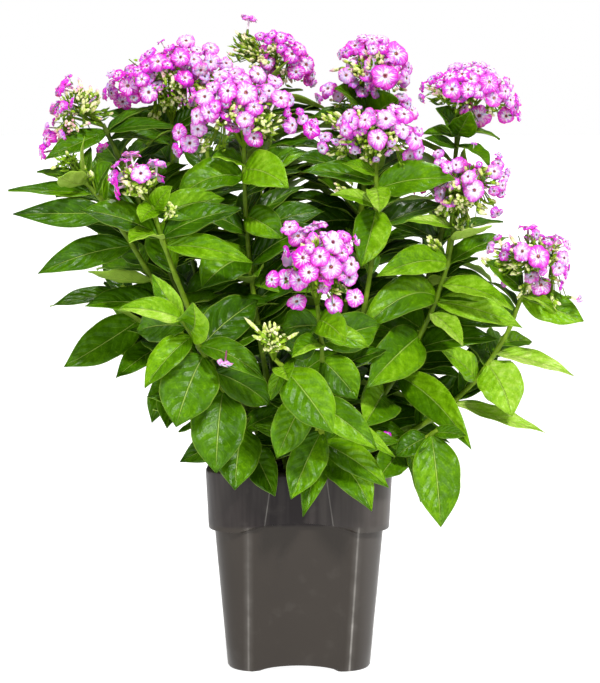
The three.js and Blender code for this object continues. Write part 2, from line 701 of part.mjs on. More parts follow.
// One floret at a place, facing along a direction: five broad petals and the tube behind them.
function makeFloret(centre, facing, root, radius, spin) {
  const neck = centre.clone().addScaledVector(facing, -FLORET_DISH - 1);
  const eye = centre.clone().addScaledVector(facing, -FLORET_EYE);
  const side = sideOf(facing);
  const other = facing.clone().cross(side).normalize();
  const rim = [];
  for (let k = 0; k < 5; k += 1) {
    for (const [angle, size, lift] of [[0, FLORET_NOTCH, -FLORET_LIFT], [0.5, 1, FLORET_LIFT]]) {
      const turn = spin + ((k + angle) * TURN) / 5;
      const point = centre.clone().addScaledVector(facing, lift);
      point.addScaledVector(side, radius * size * Math.cos(turn));
      rim.push(point.addScaledVector(other, radius * size * Math.sin(turn)));
    }
  }
  return solid(skin([[root], ringAbout(neck, facing, FLORET_NECK, 3), rim, [eye]]));
}

function makeBud(root, tip) {
  const along = tip.clone().sub(root).normalize();
  const belly = tip.clone().addScaledVector(along, -BUD_TAPER);
  return solid(skin([[root], ringAbout(belly, along, BUD_RADIUS, 3), [tip]]));
}

// The dome that a head's florets lie on.
function headDome({ at, half }) {
  const centre = gridPoint(at);
  const radii = vector(half[0] * GRID, half[2], half[1] * GRID);
  return { centre, radii };
}

function domeSpot(dome, way) {
  const spot = dome.centre.clone().add(way.clone().multiply(dome.radii));
  const facing = way.clone().divide(dome.radii).normalize();
  return { spot, facing };
}

// The way from a dome's middle to a floret that is given by its place on the front grid.
function wayToFloret({ at, half }, [right, down]) {
  const x = (right - at[0]) / half[0];
  const z = (at[1] - down) / half[1];
  const flat = Math.hypot(x, z);
  const y = -Math.sqrt(Math.max(FLATTEST_FLORET, 1 - flat * flat));
  return vector(x, y, z);
}

// Ways spread evenly over the dome's top and sides.
function evenWays(count, lowest) {
  const ways = [];
  const golden = Math.PI * (3 - Math.sqrt(5));
  for (let i = 0; i < count; i += 1) {
    const z = 1 - ((i + 0.5) / count) * (1 - lowest);
    const flat = Math.sqrt(1 - z * z);
    ways.push(vector(flat * Math.cos(i * golden), flat * Math.sin(i * golden), z));
  }
  return ways;
}

function nearestGap(spot, spots) {
  return Math.min(...spots.map((other) => other.distanceTo(spot)), Infinity);
}

function makeHead(head, stemTop, draw) {
  const dome = headDome(head);
  const pink = head.pink || head.florets.length > 1;
  const core = new THREE.SphereGeometry(1, 6, 4);
  core.rotateX(Math.PI / 2);
  const coreRadii = dome.radii.clone().subScalar(CORE_DEPTH);
  coreRadii.clampScalar(CORE_SMALLEST, CORE_LARGEST);
  core.scale(coreRadii.x, coreRadii.y, coreRadii.z);
  core.translate(dome.centre.x, dome.centre.y, dome.centre.z);
  const foot = stemTop.clone().setZ(stemTop.z + SEAT_GAP);
  const parts = [
    solid(core),
    solid(skin([
      ringAbout(foot, UP, PEDUNCLE_RADIUS, STEM_SIDES),
      ringAbout(dome.centre, UP, PEDUNCLE_RADIUS, STEM_SIDES),
    ])),
  ];
  const spots = [];
  const place = (way) => {
    const { spot, facing } = domeSpot(dome, way);
    const outwards = spot.clone().sub(dome.centre).normalize();
    const tilt = facing.add(outwards).normalize();
    const stagger = spots.length % 2 === 0 ? FLORET_STAGGER : -FLORET_STAGGER;
    const centre = spot.clone().addScaledVector(tilt, stagger);
    const root = dome.centre.clone().addScaledVector(outwards, -ROOT_SINK);
    parts.push(makeFloret(centre, tilt, root, FLORET_RADIUS, draw() * TURN));
    spots.push(spot);
  };
  for (const floret of head.florets) {
    const way = wayToFloret(head, floret);
    if (nearestGap(domeSpot(dome, way).spot, spots) > FLORET_SPACING) {
      place(way);
    }
  }
  if (pink) {
    for (const way of evenWays(FLORET_COUNT, LOWEST_FLORET)) {
      const open = head.florets.length === 0 || way.y > BACK_OF_HEAD;
      if (open && nearestGap(domeSpot(dome, way).spot, spots) > LOOSE_SPACING) {
        place(way);
      }
    }
  }
  for (const way of evenWays(pink ? PINK_BUDS : BUD_HEAD_BUDS, LOWEST_BUD)) {
    const { spot } = domeSpot(dome, way);
    if (nearestGap(spot, spots) > BUD_SPACING) {
      parts.push(makeBud(dome.centre, spot));
    }
  }
  return Manifold.union(parts);
}

// ---------------------------------------------------------------- the whole plant

const placedSolids = [];

function keep(owner, body) {
  placedSolids.push({ owner, body, box: body.boundingBox() });
}

function boxesNear(one, two) {
  const near = (i) => one.min[i] < two.max[i] + CLEARANCE && two.min[i] < one.max[i] + CLEARANCE;
  return [0, 1, 2].every(near);
}

function clearsAll(owner, body) {
  const box = body.boundingBox();
  return placedSolids.every((other) => {
    const apart = other.owner === owner || !boxesNear(box, other.box);
    return apart || body.minGap(other.body, GAP_SEARCH) > CLEARANCE;
  });
}

// The first of a leaf's bends that clears every neighbour, or nothing.
function firstClear(owner, bends) {
  for (const bend of bends) {
    const body = makeLeaf(bend);
    if (clearsAll(owner, body)) {
      return body;
    }
  }
  return null;
}

const plastic = new THREE.MeshStandardMaterial({ color: 0x4e4844, roughness: 0.35, metalness: 0 });
const earth = new THREE.MeshStandardMaterial({ color: 0x2b1d14, roughness: 0.95, metalness: 0 });
const leafGreen = new THREE.MeshStandardMaterial({ color: 0x3f7d14, roughness: 0.45, metalness: 0 });
const petalPink = new THREE.MeshStandardMaterial({ color: 0xe06ad8, roughness: 0.6, metalness: 0 });
const budCream = new THREE.MeshStandardMaterial({ color: 0xd9e2a0, roughness: 0.6, metalness: 0 });

const group = new THREE.Group();
const pot = makePot();
const soil = makeSoil(STEMS);
keep("pot", pot);
keep("soil", soil);
group.add(namedMesh("pot", pot, plastic));
group.add(namedMesh("soil", soil, earth));

const paths = new Map();
const stemParts = new Map();
for (const stem of STEMS) {
  const path = stemPath(stem);
  const body = makeStem(path, stem.root);
  paths.set(stem.name, path);
  stemParts.set(stem.name, [body]);
  keep(stem.name, body);
}

const headDraw = makeDraw(11);
for (const head of HEADS) {
  const body = makeHead(head, paths.get(head.stem).getPoint(1), headDraw);
  const name = `flower_head_${head.stem}`;
  keep(name, body);
  group.add(namedMesh(name, body, head.pink || head.florets.length > 1 ? petalPink : budCream));
}

const waveDraw = makeDraw(23);
for (const [name, leaves] of Object.entries(LEAVES)) {
  for (const leaf of leaves) {
    const body = firstClear(name, placedBends(leaf, paths.get(name), waveDraw() - 0.5));
    if (body) {
      keep(name, body);
      stemParts.get(name).push(body);
    }
  }
}

const pairDraw = makeDraw(37);
for (const { name } of STEMS) {
  for (const leaf of pairsOf(paths.get(name), FRONT_ROW.includes(name), pairDraw)) {
    const body = firstClear(name, pairBends(leaf));
    if (body) {
      keep(name, body);
      stemParts.get(name).push(body);
    }
  }
}

for (const [name, parts] of stemParts) {
  group.add(namedMesh(`leafy_stem_${name}`, Manifold.union(parts), leafGreen));
}

export default group;
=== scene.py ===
"""Finishes a garden phlox in flower in its square nursery pot: fine leaves, stems, florets and buds."""

import math

import bmesh
import bpy
from mathutils import Matrix, Vector
from mathutils.kdtree import KDTree


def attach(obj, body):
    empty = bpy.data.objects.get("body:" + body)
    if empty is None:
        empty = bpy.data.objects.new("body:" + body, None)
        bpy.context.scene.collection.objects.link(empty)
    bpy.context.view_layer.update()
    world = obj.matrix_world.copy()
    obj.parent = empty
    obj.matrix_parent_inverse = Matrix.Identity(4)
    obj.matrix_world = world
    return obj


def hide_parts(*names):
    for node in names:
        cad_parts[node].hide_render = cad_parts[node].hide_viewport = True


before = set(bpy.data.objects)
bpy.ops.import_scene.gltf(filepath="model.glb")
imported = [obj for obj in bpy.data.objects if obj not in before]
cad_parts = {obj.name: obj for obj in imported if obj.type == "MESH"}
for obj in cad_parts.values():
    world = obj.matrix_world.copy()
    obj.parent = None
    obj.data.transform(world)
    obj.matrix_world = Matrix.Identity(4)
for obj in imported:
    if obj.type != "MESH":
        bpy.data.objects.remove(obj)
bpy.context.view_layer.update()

# ---------------------------------------------------------------- sizes and places, in mm

MM = 0.001
TURN = math.tau
UP = Vector((0, 0, 1))
FRONT = Vector((0, -1, 0))
TO_EYE = Vector((0, -0.97, 0.24))

# The front grid: squares of GRID mm on an upright plane through the pot's axis, as seen from the
# camera. A place is squares to the right, squares down, and mm behind (+) or before (-) the axis.
GRID = 0.924
GRID_RIGHT = 299
GRID_DOWN = 341.5
IMAGE_WIDTH = 600
IMAGE_HEIGHT = 683
EYE_BACK = 2600
EYE_HEIGHT = 697
AIM_HEIGHT = 297
EYE_RISE = EYE_HEIGHT - AIM_HEIGHT
EYE_REACH = math.hypot(EYE_BACK, EYE_RISE)

# The pot: a square with round corners. Its foot and the band round its rim are arched upwards in
# the middle of each side, each side has a shallow panel, and the band has a fainter tab.
POT_HEIGHT = 190
POT_WALL = 2.4
CORNER_RADIUS = 26
CORNER_STEPS = 10
SIDE_STEPS = 18
BODY_BASE_HALF = 66
BODY_TOP_HALF = 77
BODY_LEVELS = 6
RIM_HALF = 85
RIM_BAND = 56
RIM_FLARE = 2.5
BAND_LEVELS = 5
FOOT_ARCH = 5
BAND_ARCH = 8.5
ARCH_SPAN = 0.98
ARCH_BEND = 0.75
BOSS_HALF = 38
BOSS_CORNER = 12
FLOOR_THICK = 3
PANEL_HALF = 40
PANEL_SLOPE = 5
PANEL_RECESS = 2.2
PANEL_DISH = 0.3
BAND_RECESS = 0.35
TAB_RECESS = 0.4
BAND_FADE = 8
BAND_CORNER = 30
TAB_FOOT_HALF = 31
TAB_TOP_HALF = 24
TAB_SLOPE = 2.5
DRAIN_RADIUS = 5
DRAIN_PLACE = 26
# Edges of the pot that turn by more degrees than this stay sharp.
POT_SHARP_EDGE = 38
# How the pot's edges are rounded: how far each level sinks in, and its height above the edge.
FOOT_ROUNDING = ((4, 0), (1.2, 0.5), (0, 2.5))
BAND_ROUNDING = ((1.2, 0), (0.3, 0.3), (0, 1.4))
RIM_ROUNDING = ((0.4, -1.5), (1.2, -0.3), (2, 0), (3, -0.4))
BODY_BELOW_BAND = 1
RIM_ROUND = 4
LIP_STEP = 1.4
LIP_DEPTH = 3

SOIL_TOP = 182
SOIL_HALF = 76
CRUMB_COUNT = 620
CRUMB_LEAST = 1.2
CRUMB_MORE = 3.2
STEM_CLEAR = 4
SOIL_ROUND = 0.3
SOIL_REACH = 1.12

# Stems.
ROOT_DEPTH = 12
ROOT_SHARE = 0.04
STEM_COLLAR = 4
STEM_RADIUS = 2.7
STEM_TOP_RADIUS = 1.9
STEM_STEPS = 5
LENGTH_STEPS = 200
HEIGHT_HALVINGS = 30
JOINT_SWELL = 0.22
JOINT_SHARE = 0.012
STEM_TONES = (0.4, 0.6)

# Leaves.
LEAF_THICK = 0.55
LEAF_FOLD = 0.14
LEAF_WAVE = 0.035
LEAF_STATIONS = (0.3, 0.68)
LARGE_LEAF_WIDTH = 37
LARGE_LEAF_STATIONS = (0.25, 0.52)
LEAF_CREST = 0.45
LEAF_OUTWARD_BOW = 0.6
LAST_LEAF = 0.96
BLADE_SKEW = 0.85
BLADE_FULLNESS = 0.9
LEAF_TAPER = 0.25
LEAF_LEAST_HALF = 0.35
KEEL_LIFT = 2.6
KEEL_BEND = 1.3
MIDRIB_HALF = 0.25
MIDRIB_THICKER = 0.9
# Leaves that are this wide for their length begin to end bluntly, and how they do.
BLUNT_LEAVES = (0.3, 0.5)
BLUNT_FROM = 0.55
BLUNT_SWELL = 0.15
RIPPLES = (2.2, 3.8)
RIPPLE_DEPTHS = (0.018, 0.04)
TIP_CURLS = (-0.009, 0.021)
CURL_FROM = 0.7
CURL_BEND = 11
PLACED_TONE_SPAN = 0.04
INNER_WAVE = 0.2

# Opposite pairs of leaves, which fill the stems between the leaves that are placed one by one.
PAIR_STEP = 47
PAIR_START = 26
PAIR_LENGTH = 84
PAIR_WIDTH = 0.4
PAIR_ARCH = 0.14
PAIR_TWIST = 0.5
PAIR_TOP_RISE = 0.55
PAIR_DROOP = 0.75
PAIR_TAPER = 0.35
PAIR_FRONT = 0.2
PAIR_TURN = 0.4
PAIR_TURNED = 0.3
PAIR_RISES = (0.7, 1.3)
PAIR_SIZES = (0.85, 1.1)
PAIR_TONES = (0.18, 0.52)
MATCH = 1

# Small leaves deep in the plant, set where the foliage would show a gap. Room is kept in cells of
# the front grid, and a leaf's own points lie at shares across and along it.
FILLER_START = 40
FILLER_STEP = 6
FILLER_TRIES = 36
FILLER_GAIN = 3
FILLER_APART = 2
FILLER_TOUCHING = 4
FILLER_FRONT = 0.75
FILLER_PITCHES = (-0.65, 0.45)
FILLER_TOP_RISE = 0.4
FILLER_SIZES = (0.65, 1.05)
FILLER_TONES = (0.13, 0.49)
HIDING_COST = 0.6
HIDING_DEPTH = 5
CELL = 5
SAMPLES_ACROSS = (-0.8, -0.4, 0, 0.4, 0.8)
SAMPLES_ALONG = tuple(i / 22 for i in range(2, 22, 2))
INNER_SAMPLES = 3 * len(SAMPLES_ACROSS)

# Florets, and the dome of each head that they stand on.
FLORET_RADIUS = 11
FLORET_TUBE = 17
FLORET_KINDS = 8
FLORET_LAYERS = 4
FLORET_STAGGER = 1.6
PETALS = 5
# The form of a petal, in shares of the floret's radius.
PETAL_FOOT = 0.06
PETAL_NECK = 0.09
PETAL_BREADTH = 0.5
PETAL_WIDEST = 0.7
PETAL_LENGTH = 0.95
PETAL_ROUND = 0.37
PETAL_NOTCH = 0.04
NOTCH_HALF = 0.16
PETAL_THICK = 0.035
PETAL_WAVE = 0.08
PETAL_LEAN = 0.12
PETAL_TURN = 0.2
PETAL_CUT = 0.16
PETAL_CUPS = (0.04, 0.2)
PETAL_DROOPS = (-0.05, 0.4)
PETAL_SIZES = (0.84, 1.03)
TUBE_GIRTH = 0.085
TUBE_SWELL = 0.03
CALYX_GIRTH = 0.06
CALYX_SWELL = 0.1
EYE_HALF = 0.1
EYE_THICK = 0.05
EYE_SUNK = 0.02
# How the florets stand.
FACE_LOOSE = 0.26
LOOSE_SPACING = 14
BETWEEN_SPACING = 8.5
BETWEEN_SIZES = (6.5, 9)
BETWEEN_PALENESS = (0.2, 0.7)
LOOSE_PALENESS = (0.1, 0.6)
BETWEEN_REACH = 0.85
BETWEEN_DEPTH = 0.84
BETWEEN_TRIES = {
    "left_back": 60, "centre": 60, "centre_back": 40, "right_back": 50, "right_inner": 50,
    "right_high": 60, "right": 12, "right_outer": 10, "front_high": 40,
}
FILL_COUNT = 46
FILL_REAR = 0.1
OPEN_LIFT = 0.3
HIDDEN_LIFT = 1.2
LOWEST_FLORET = -0.1
FORK_COUNT = 8
FORK_REACH = 0.42
LOWEST_FORK = -0.3
BRANCH_FOOT = 1.5
BRANCH_RADII = (1.7, 1.1)
SHOOT_RADII = (1.1, 0.8)
STALK_RADIUS = 0.6
THIN_STALK_RADIUS = 0.5
STALK_TAPER = 0.8
STALK_BELOW_TUBE = 1.2
SHOOT_FORK = 0.75
# How light the branches, the stalks and the side shoots are.
BRANCH_TONE = 0.45
STALK_TONE = 0.4
SHOOT_TONE = 0.5
DOME_EDGE = 0.82
DOME_MARGIN = 1.05
DOME_RIM = 0.02

# Buds.
BUD_LENGTHS = (6, 10)
BUD_RADII = (1.35, 1.9)
BUD_REACHES = (0.95, 1.09)
BUD_RISE = 0.35
CLUSTER_HEIGHT = 0.8
CLUSTER_CORE = 0.8
BUD_PINK_SPAN = 0.6
BUD_LOOSE = 0.9
INNER_BUD_LENGTHS = (5, 8)
INNER_BUD_RADII = (1.2, 1.7)
INNER_BUDS = 44
REAR_INNER_BUDS = 12
INNER_BUD_DEPTHS = (0.62, 0.88)
INNER_BUD_GREEN = 0.6
LOWEST_INNER_BUD = -0.5
INNER_BUD_REACH = 14
LONE_BUD_SHARE = 0.25
LONG_BUD_RADIUS = 1.9
CALYX_SPAN = (-0.12, 0.38)
SPRAY_BUD_RADII = (1.2, 1.6)

# Each stem: where it leaves the soil (X, Y), and its halfway place and its top on the front grid.
STEMS = {
    "left_high": ((-46, 8), (160, 250, -20), (103, 124, -30)),
    "left_outer": ((-50, -18), (150, 275, -60), (82, 178, -70)),
    "left_shoot": ((-52, 28), (170, 355, 20), (122, 285, 15)),
    "left_front": ((-34, -44), (218, 380, -105), (180, 316, -128)),
    "left_inner": ((-38, -32), (185, 300, -85), (152, 203, -98)),
    "left_back": ((-30, 24), (192, 260, 15), (172, 120, 5)),
    "centre": ((-12, -24), (254, 300, -50), (244, 146, -52)),
    "centre_back": ((-12, 44), (262, 260, 55), (266, 84, 65)),
    "right_back": ((12, 30), (352, 270, 40), (371, 104, 42)),
    "right_inner": ((24, -16), (366, 300, -45), (376, 164, -45)),
    "right_high": ((44, 24), (425, 290, 15), (459, 122, 5)),
    "right": ((26, -2), (418, 340, -28), (456, 215, -32)),
    "right_outer": ((38, 4), (461, 396, -20), (527, 280, -38)),
    "right_low": ((46, -34), (398, 453, -68), (437, 430, -92)),
    "front_high": ((6, -42), (322, 400, -100), (317, 303, -128)),
    "front_low": ((22, -54), (315, 412, -120), (274, 358, -150)),
    "rear_left": ((-28, 50), (225, 280, 85), (205, 125, 105)),
    "rear_right": ((26, 52), (352, 290, 90), (378, 140, 112)),
    "rear_far": ((50, 50), (425, 330, 90), (452, 212, 92)),
}
# The stems that stand in the front row: their pairs leave out the leaves that point forwards.
FRONT_ROW = (
    "left_outer", "left_front", "left_inner", "right_inner", "right", "right_outer", "right_low",
    "front_high", "front_low",
)
# How much darker a stem is than the rest, where others shade it.
DARK_STEMS = {
    "left_high": 0.5, "left_outer": 0.15, "left_back": 0.3, "left_front": 0.1, "centre_back": 0.3,
    "right_high": 0.3, "right": 0.1, "front_low": -0.3,
}
# Heads by the stem that carries them: the middle of the dome on the front grid, its half width and
# half height in squares and its half depth in mm.
HEADS = {
    "left_high": ((74, 112, -32), (26, 34, 26)),
    "left_outer": ((71, 160, -72), (14, 12, 13)),
    "left_inner": ((139, 180, -100), (24, 20, 24)),
    "left_back": ((167, 76, 2), (54, 34, 40)),
    "centre": ((236, 106, -54), (58, 38, 42)),
    "centre_back": ((277, 56, 66), (34, 28, 34)),
    "right_back": ((372, 72, 40), (36, 30, 34)),
    "right_inner": ((374, 130, -46), (46, 26, 34)),
    "right_high": ((472, 92, 4), (44, 24, 36)),
    "right": ((464, 184, -34), (40, 28, 34)),
    "right_outer": ((538, 256, -40), (36, 30, 32)),
    "front_high": ((317, 264, -138), (36, 34, 32)),
    "front_low": ((272, 337, -152), (22, 16, 20)),
    "rear_left": ((203, 104, 108), (38, 24, 34)),
    "rear_right": ((380, 118, 116), (38, 24, 34)),
    "rear_far": ((450, 186, 92), (36, 26, 34)),
}
# The florets on the side of each head that is seen from the front: the place on the front grid, the
# radius in squares, how far the floret leans to the right and up (0 faces the eye, 1 is seen from
# its edge) and how pale it is.
FLORET_ROWS = {
    "left_high": (
        (68, 76, 5, -0.5, 0.7, 0.2), (71, 103, 6, -0.9, 0.4, 0.1), (56, 113, 6, -1.05, 0.1, 0.2),
        (62, 108, 8, -0.8, 0.3, 0.2), (61, 87, 10, -0.85, 0.25, 0.1), (53, 122, 5, -0.9, 0.1, 0.1),
        (46, 128, 6, -0.9, 0.1, 0.7), (62, 137, 7, -0.8, -0.3, 0.7), (47, 139, 11, -0.65, 0.1, 0.2),
        (42, 153, 10, -0.7, -0.2, 0.2), (103, 149, 8, 0.4, -0.7, 0.3),
    ),
    "left_inner": (
        (126, 159, 7, -0.2, 1.0, 0.6), (131, 154, 10, -0.1, 1.15, 0.7), (157, 163, 11, 0.15, 1.12, 0.7),
        (116, 165, 6, -0.5, 0.8, 0.2), (112, 176, 8, -0.6, 0.2, 0.1), (116, 189, 13, -0.85, -0.2, 0.15),
        (141, 174, 10.5, 0, 0.05, 0.55),
    ),
    "left_back": (
        (186, 41, 11, 0, 0.45, 0.6), (169, 48, 7, -0.3, 0.6, 0.1), (161, 42, 5, -0.6, 0.8, 0.2),
        (211, 49, 10, 0.2, 0.4, 0.5), (150, 53, 8, -0.5, 0.5, 0.1), (194, 60, 9, 0.1, 0.2, 0.8),
        (226, 64, 9, 0.3, 0.2, 0.7), (211, 63, 10, 0.1, 0.1, 0.6), (147, 66, 9, -0.3, 0.2, 0.1),
        (158, 62, 11, 0, 0.2, 0.25), (181, 58, 11, 0, 0.1, 0.2), (201, 71, 9.5, 0.2, -0.3, 0.65),
        (138, 71, 8, -0.3, 0.4, 0), (131, 72, 7, -0.3, 0.6, 0.1), (142, 80, 8.5, -0.2, 0, 0.05),
        (119, 76, 8, -0.4, 0.4, 0.1), (111, 73, 7, -0.6, 0.5, 1), (110, 86, 8, -0.6, 0.1, 0.2),
        (104, 95, 7, -0.8, 0, 0.2), (112, 94, 8, -0.5, -0.1, 0.3), (128, 86, 11.5, -0.1, 0.1, 0.1),
        (123, 102, 10, -0.2, -0.2, 0.15), (149, 93, 11, 0, 0, 0.45), (185, 79, 10, 0.1, 0.3, 0.05),
        (178, 75, 7, -0.3, 0.3, 0.05), (205, 77, 7, 0.2, 0, 0.7), (134, 98, 8, 0, -0.3, 0.1),
        (168, 66, 7, 0, 0.5, 0.1), (197, 50, 8, 0.1, 0.6, 0.5),
    ),
    "centre": (
        (238, 70, 8, 0, 0.7, 0.6), (228, 71, 8, -0.1, 0.7, 0.6), (235, 74, 9, -0.2, 0.5, 0.6),
        (220, 76, 9, -0.3, 0.5, 0.5), (224, 81, 10, -0.2, 0.3, 0.4), (242, 80, 10, 0, 0.4, 0.4),
        (258, 75, 11, 0.1, 0.35, 0.55), (275, 82, 9, 0.35, 0.3, 0.55), (213, 87, 9, -0.3, 0.3, 0.5),
        (205, 97, 11, -0.2, 0.2, 0.5), (215, 107, 8, -0.1, 0, 0.2), (228, 92, 11.5, -0.1, 0.1, 0.3),
        (269, 91, 8.5, 0.2, 0, 0.85), (246, 93, 13, 0, 0.05, 0.45), (290, 101, 8, 0.5, 0, 0.7),
        (281, 99, 11, 0.25, 0.1, 0.5), (226, 104, 6, 0, -0.3, 0.1), (263, 99, 5, 0.2, -0.3, 0.7),
        (209, 113, 10, -0.2, 0, 0.45), (197, 117, 9.5, -0.3, 0, 0.4), (254, 107, 9.5, 0, 0.05, 0.25),
        (245, 119, 10, 0, -0.1, 0.5), (288, 113, 6, 0.4, -0.2, 0), (292, 126, 10, 0.5, -0.1, 0.6),
        (303, 119, 7, 0.4, 0, 0.8), (315, 123, 6, 0.5, 0.2, 0.1), (311, 130, 9.5, 0, 0, 0),
        (300, 112, 5, 0.3, 0.3, 0.1), (198, 129, 9.5, -0.2, -0.2, 0.8), (179, 133, 10, -0.4, 0, 0.3),
        (176, 152, 9, -0.5, -0.4, 0.3), (190, 144, 11, 0, 0, 0.55), (254, 138, 10.5, 0, -0.1, 0.2),
    ),
    "centre_back": (
        (249, 17, 10, 0.1, 1.12, 0.6), (260, 36, 6, -0.2, 0.3, 0.3), (268, 41, 5, 0, 0.3, 0.1),
        (272, 35, 6, -0.1, 0.5, 0.1), (281, 37, 9, 0, 0.3, 0.1), (291, 40, 7, 0.3, 0.5, 0.1),
        (281, 49, 6, -0.2, 0.2, 0), (300, 49, 9, 0.4, 0.4, 0.2), (292, 54, 11.5, 0.2, 0.15, 0.25),
        (306, 65, 12, 0.35, 0.1, 0.2), (312, 76, 8, 0.6, -0.1, 0.2), (296, 73, 10, 0.05, 0, 0.2),
        (309, 80, 7, 0.4, -0.1, 0.3), (314, 85, 6, 0.5, -0.6, 0.4),
    ),
    "right_back": (
        (382, 38, 9, 0.1, 0.7, 0.5), (364, 38, 9, -0.1, 0.7, 0.4), (372, 40, 10, 0, 0.6, 0.5),
        (340, 55, 7, -0.8, 0, 0.8), (355, 46, 11.5, -0.25, 0.35, 0.3), (346, 52, 8, -0.5, 0.1, 0.05),
        (382, 49, 7, 0.2, 0.4, 0.05), (373, 50, 7, 0, 0.3, 0.5), (396, 54, 14, 0.1, 0.1, 0.25),
        (408, 68, 8, 0.6, 0, 0.3), (346, 76, 10, -0.2, -0.1, 0.7), (406, 79, 10, 0.6, 0, 0.6),
        (318, 99, 7, -0.7, -0.3, 0.5), (328, 89, 10.5, -0.3, 0.2, 0.25), (338, 97, 7, 0, -0.3, 0.8),
        (385, 77, 15.5, 0, 0, 0.25), (407, 104, 8.5, 0.6, 0, 0.4), (402, 97, 8, 0.2, 0.4, 0.8),
    ),
    "right_inner": (
        (358, 107, 5, 0, 0.7, 0.9), (395, 109, 9, 0.2, 0.6, 0.6), (404, 115, 11, 0.3, 0.3, 0.35),
        (349, 115, 9, -0.2, 0.5, 0.5), (341, 121, 7, -0.5, 0.2, 0.5),
        (351, 122, 10, -0.3, 0.1, 0.5),
        (345, 131, 8, -0.3, -0.3, 0.4), (365, 121, 10.5, -0.25, 0.3, 0.35),
        (386, 119, 11.5, 0, 0.1, 0.7),
        (403, 130, 9, 0.3, 0, 0.7), (311, 131, 6, 0.2, 0, 0.1), (415, 140, 12, 0.5, 0.1, 0.6),
        (419, 131, 7, 0.6, 0.3, 0.5), (325, 137, 8, -0.2, 0.3, 0.6), (336, 142, 5, 0, 0.2, 0.6),
        (322, 149, 7.5, -0.3, -0.3, 0.6), (378, 138, 11.5, 0, 0, 0.45), (355, 152, 7, 0, -0.5, 0.6),
        (392, 144, 6, 0.2, -0.4, 0.6), (419, 153, 9, 0.5, -0.2, 0.4), (410, 156, 10, 0.25, -0.3, 0.5),
        (390, 153, 6, 0.2, -0.6, 0.7), (376, 160, 4, 0, -0.4, 0.7),
    ),
    "right_high": (
        (465, 65, 8, -0.1, 0.8, 0.7), (480, 64, 9, 0.1, 0.8, 0.7), (454, 67, 9, -0.3, 0.7, 0.6),
        (490, 71, 9, 0.3, 0.7, 0.6), (497, 78, 9, 0.5, 0.4, 0.4), (478, 72, 9, 0.1, 0.5, 0.25),
        (462, 75, 10, -0.1, 0.4, 0.2), (450, 77, 10, -0.3, 0.4, 0.2), (471, 79, 10, 0, 0.3, 0.3),
        (509, 84, 9, 0.7, 0.2, 0.6), (505, 92, 9, 0.5, 0.1, 0.5), (489, 83, 11.5, 0.15, 0.15, 0.2),
        (480, 90, 9, 0.1, 0, 0.35), (468, 90, 9, 0, 0, 0.3), (452, 90, 11.5, -0.1, 0, 0.3),
        (510, 101, 9, 0.6, 0, 0.6), (494, 98, 10.5, 0.1, -0.1, 0.3), (518, 100, 8, 0.75, 0.1, 0.3),
        (515, 108, 9, 0.7, -0.1, 0.2), (519, 117, 6, 0.85, -0.2, 0.2), (506, 116, 10, 0.2, -0.2, 0.25),
        (479, 116, 13, 0, 0, 0.35), (431, 80, 6.5, -0.4, 0.5, 0), (438, 76, 6, -0.4, 0.6, 0.1),
        (422, 87, 6.5, -0.8, 0.2, 0.1), (421, 99, 6, -0.6, -0.4, 0.5), (440, 84, 6, -0.2, 0.3, 0.1),
    ),
    "right": (
        (474, 143, 4, 0, 0.9, 0.5), (438, 153, 7, -0.2, 0.6, 0.6), (440, 166, 9, -0.1, 0.2, 0.6),
        (448, 169, 8, 0.3, 0, 0.4), (456, 165, 8, 0, 0.2, 0.8), (425, 174, 9.5, -0.1, 0, 0.5),
        (425, 183, 6, -0.1, -0.5, 0.5), (479, 165, 4, 0, 0.2, 0), (499, 155, 5, 0.3, 0.6, 0.4),
        (498, 164, 8, 0.2, 0.3, 0.3), (494, 172, 9, 0, 0.1, 0.7), (503, 178, 8, 0.4, 0, 0.6),
        (509, 172, 6, 0.7, 0, 0.8), (468, 177, 9, -0.2, 0.3, 0.65), (502, 186, 7, 0.4, -0.1, 0.3),
        (474, 191, 11.5, 0, 0, 0.55), (494, 191, 6.5, 0, -0.2, 0.3), (502, 193, 7, 0.4, -0.3, 0.2),
        (497, 214, 8, 0.1, -0.5, 0.4),
    ),
    "right_outer": (
        (528, 227, 11, 0.1, 1.1, 0.25), (559, 237, 7, 0.5, 0.9, 0.6), (568, 245, 7, 0.8, 0.3, 0.9),
        (505, 247, 6, -0.5, 0.3, 0.3), (504, 255, 7, -0.4, 0, 0), (489, 248, 8, -0.8, 0.2, 0.8),
        (497, 237, 5, -0.4, 0.7, 0.3), (522, 252, 11, -0.25, 0.1, 0.45), (564, 258, 9, 0.4, 0.1, 0.6),
        (559, 268, 9, 0.3, -0.2, 0.8), (538, 257, 13, 0, 0, 0.3), (567, 272, 9, 0.85, -0.2, 0.25),
        (541, 285, 11.5, 0, 0.15, 0.45), (503, 285, 4, -0.4, -0.4, 0.1), (562, 286, 6, 0.8, -0.2, 0.2),
        (580, 299, 4.5, 0.6, 0, 0.7), (548, 241, 6, 0.1, 0.8, 0.3),
    ),
    "front_high": (
        (320, 223, 10, 0.15, 1.05, 0.7), (307, 228, 8, -0.1, 0.8, 0.7), (313, 227, 7, 0.1, 0.8, 0.7),
        (290, 228, 10, -0.2, 0.4, 0.4), (298, 236, 11.5, 0, 0.1, 0.2), (325, 235, 6, 0, 0.5, 0.5),
        (286, 252, 6.5, -0.6, -0.1, 0.1), (310, 248, 6, 0, 0.2, 0.4), (357, 240, 7, 0.75, 0.2, 0.3),
        (344, 236, 9, 0.3, 0.4, 0.25), (348, 248, 8, 0.5, 0.1, 0.3), (333, 243, 12.5, 0, 0.2, 0.6),
        (342, 253, 9, 0.3, 0.1, 0.2), (303, 258, 12, 0, 0, 0.05), (320, 257, 11, 0, 0, 0.35),
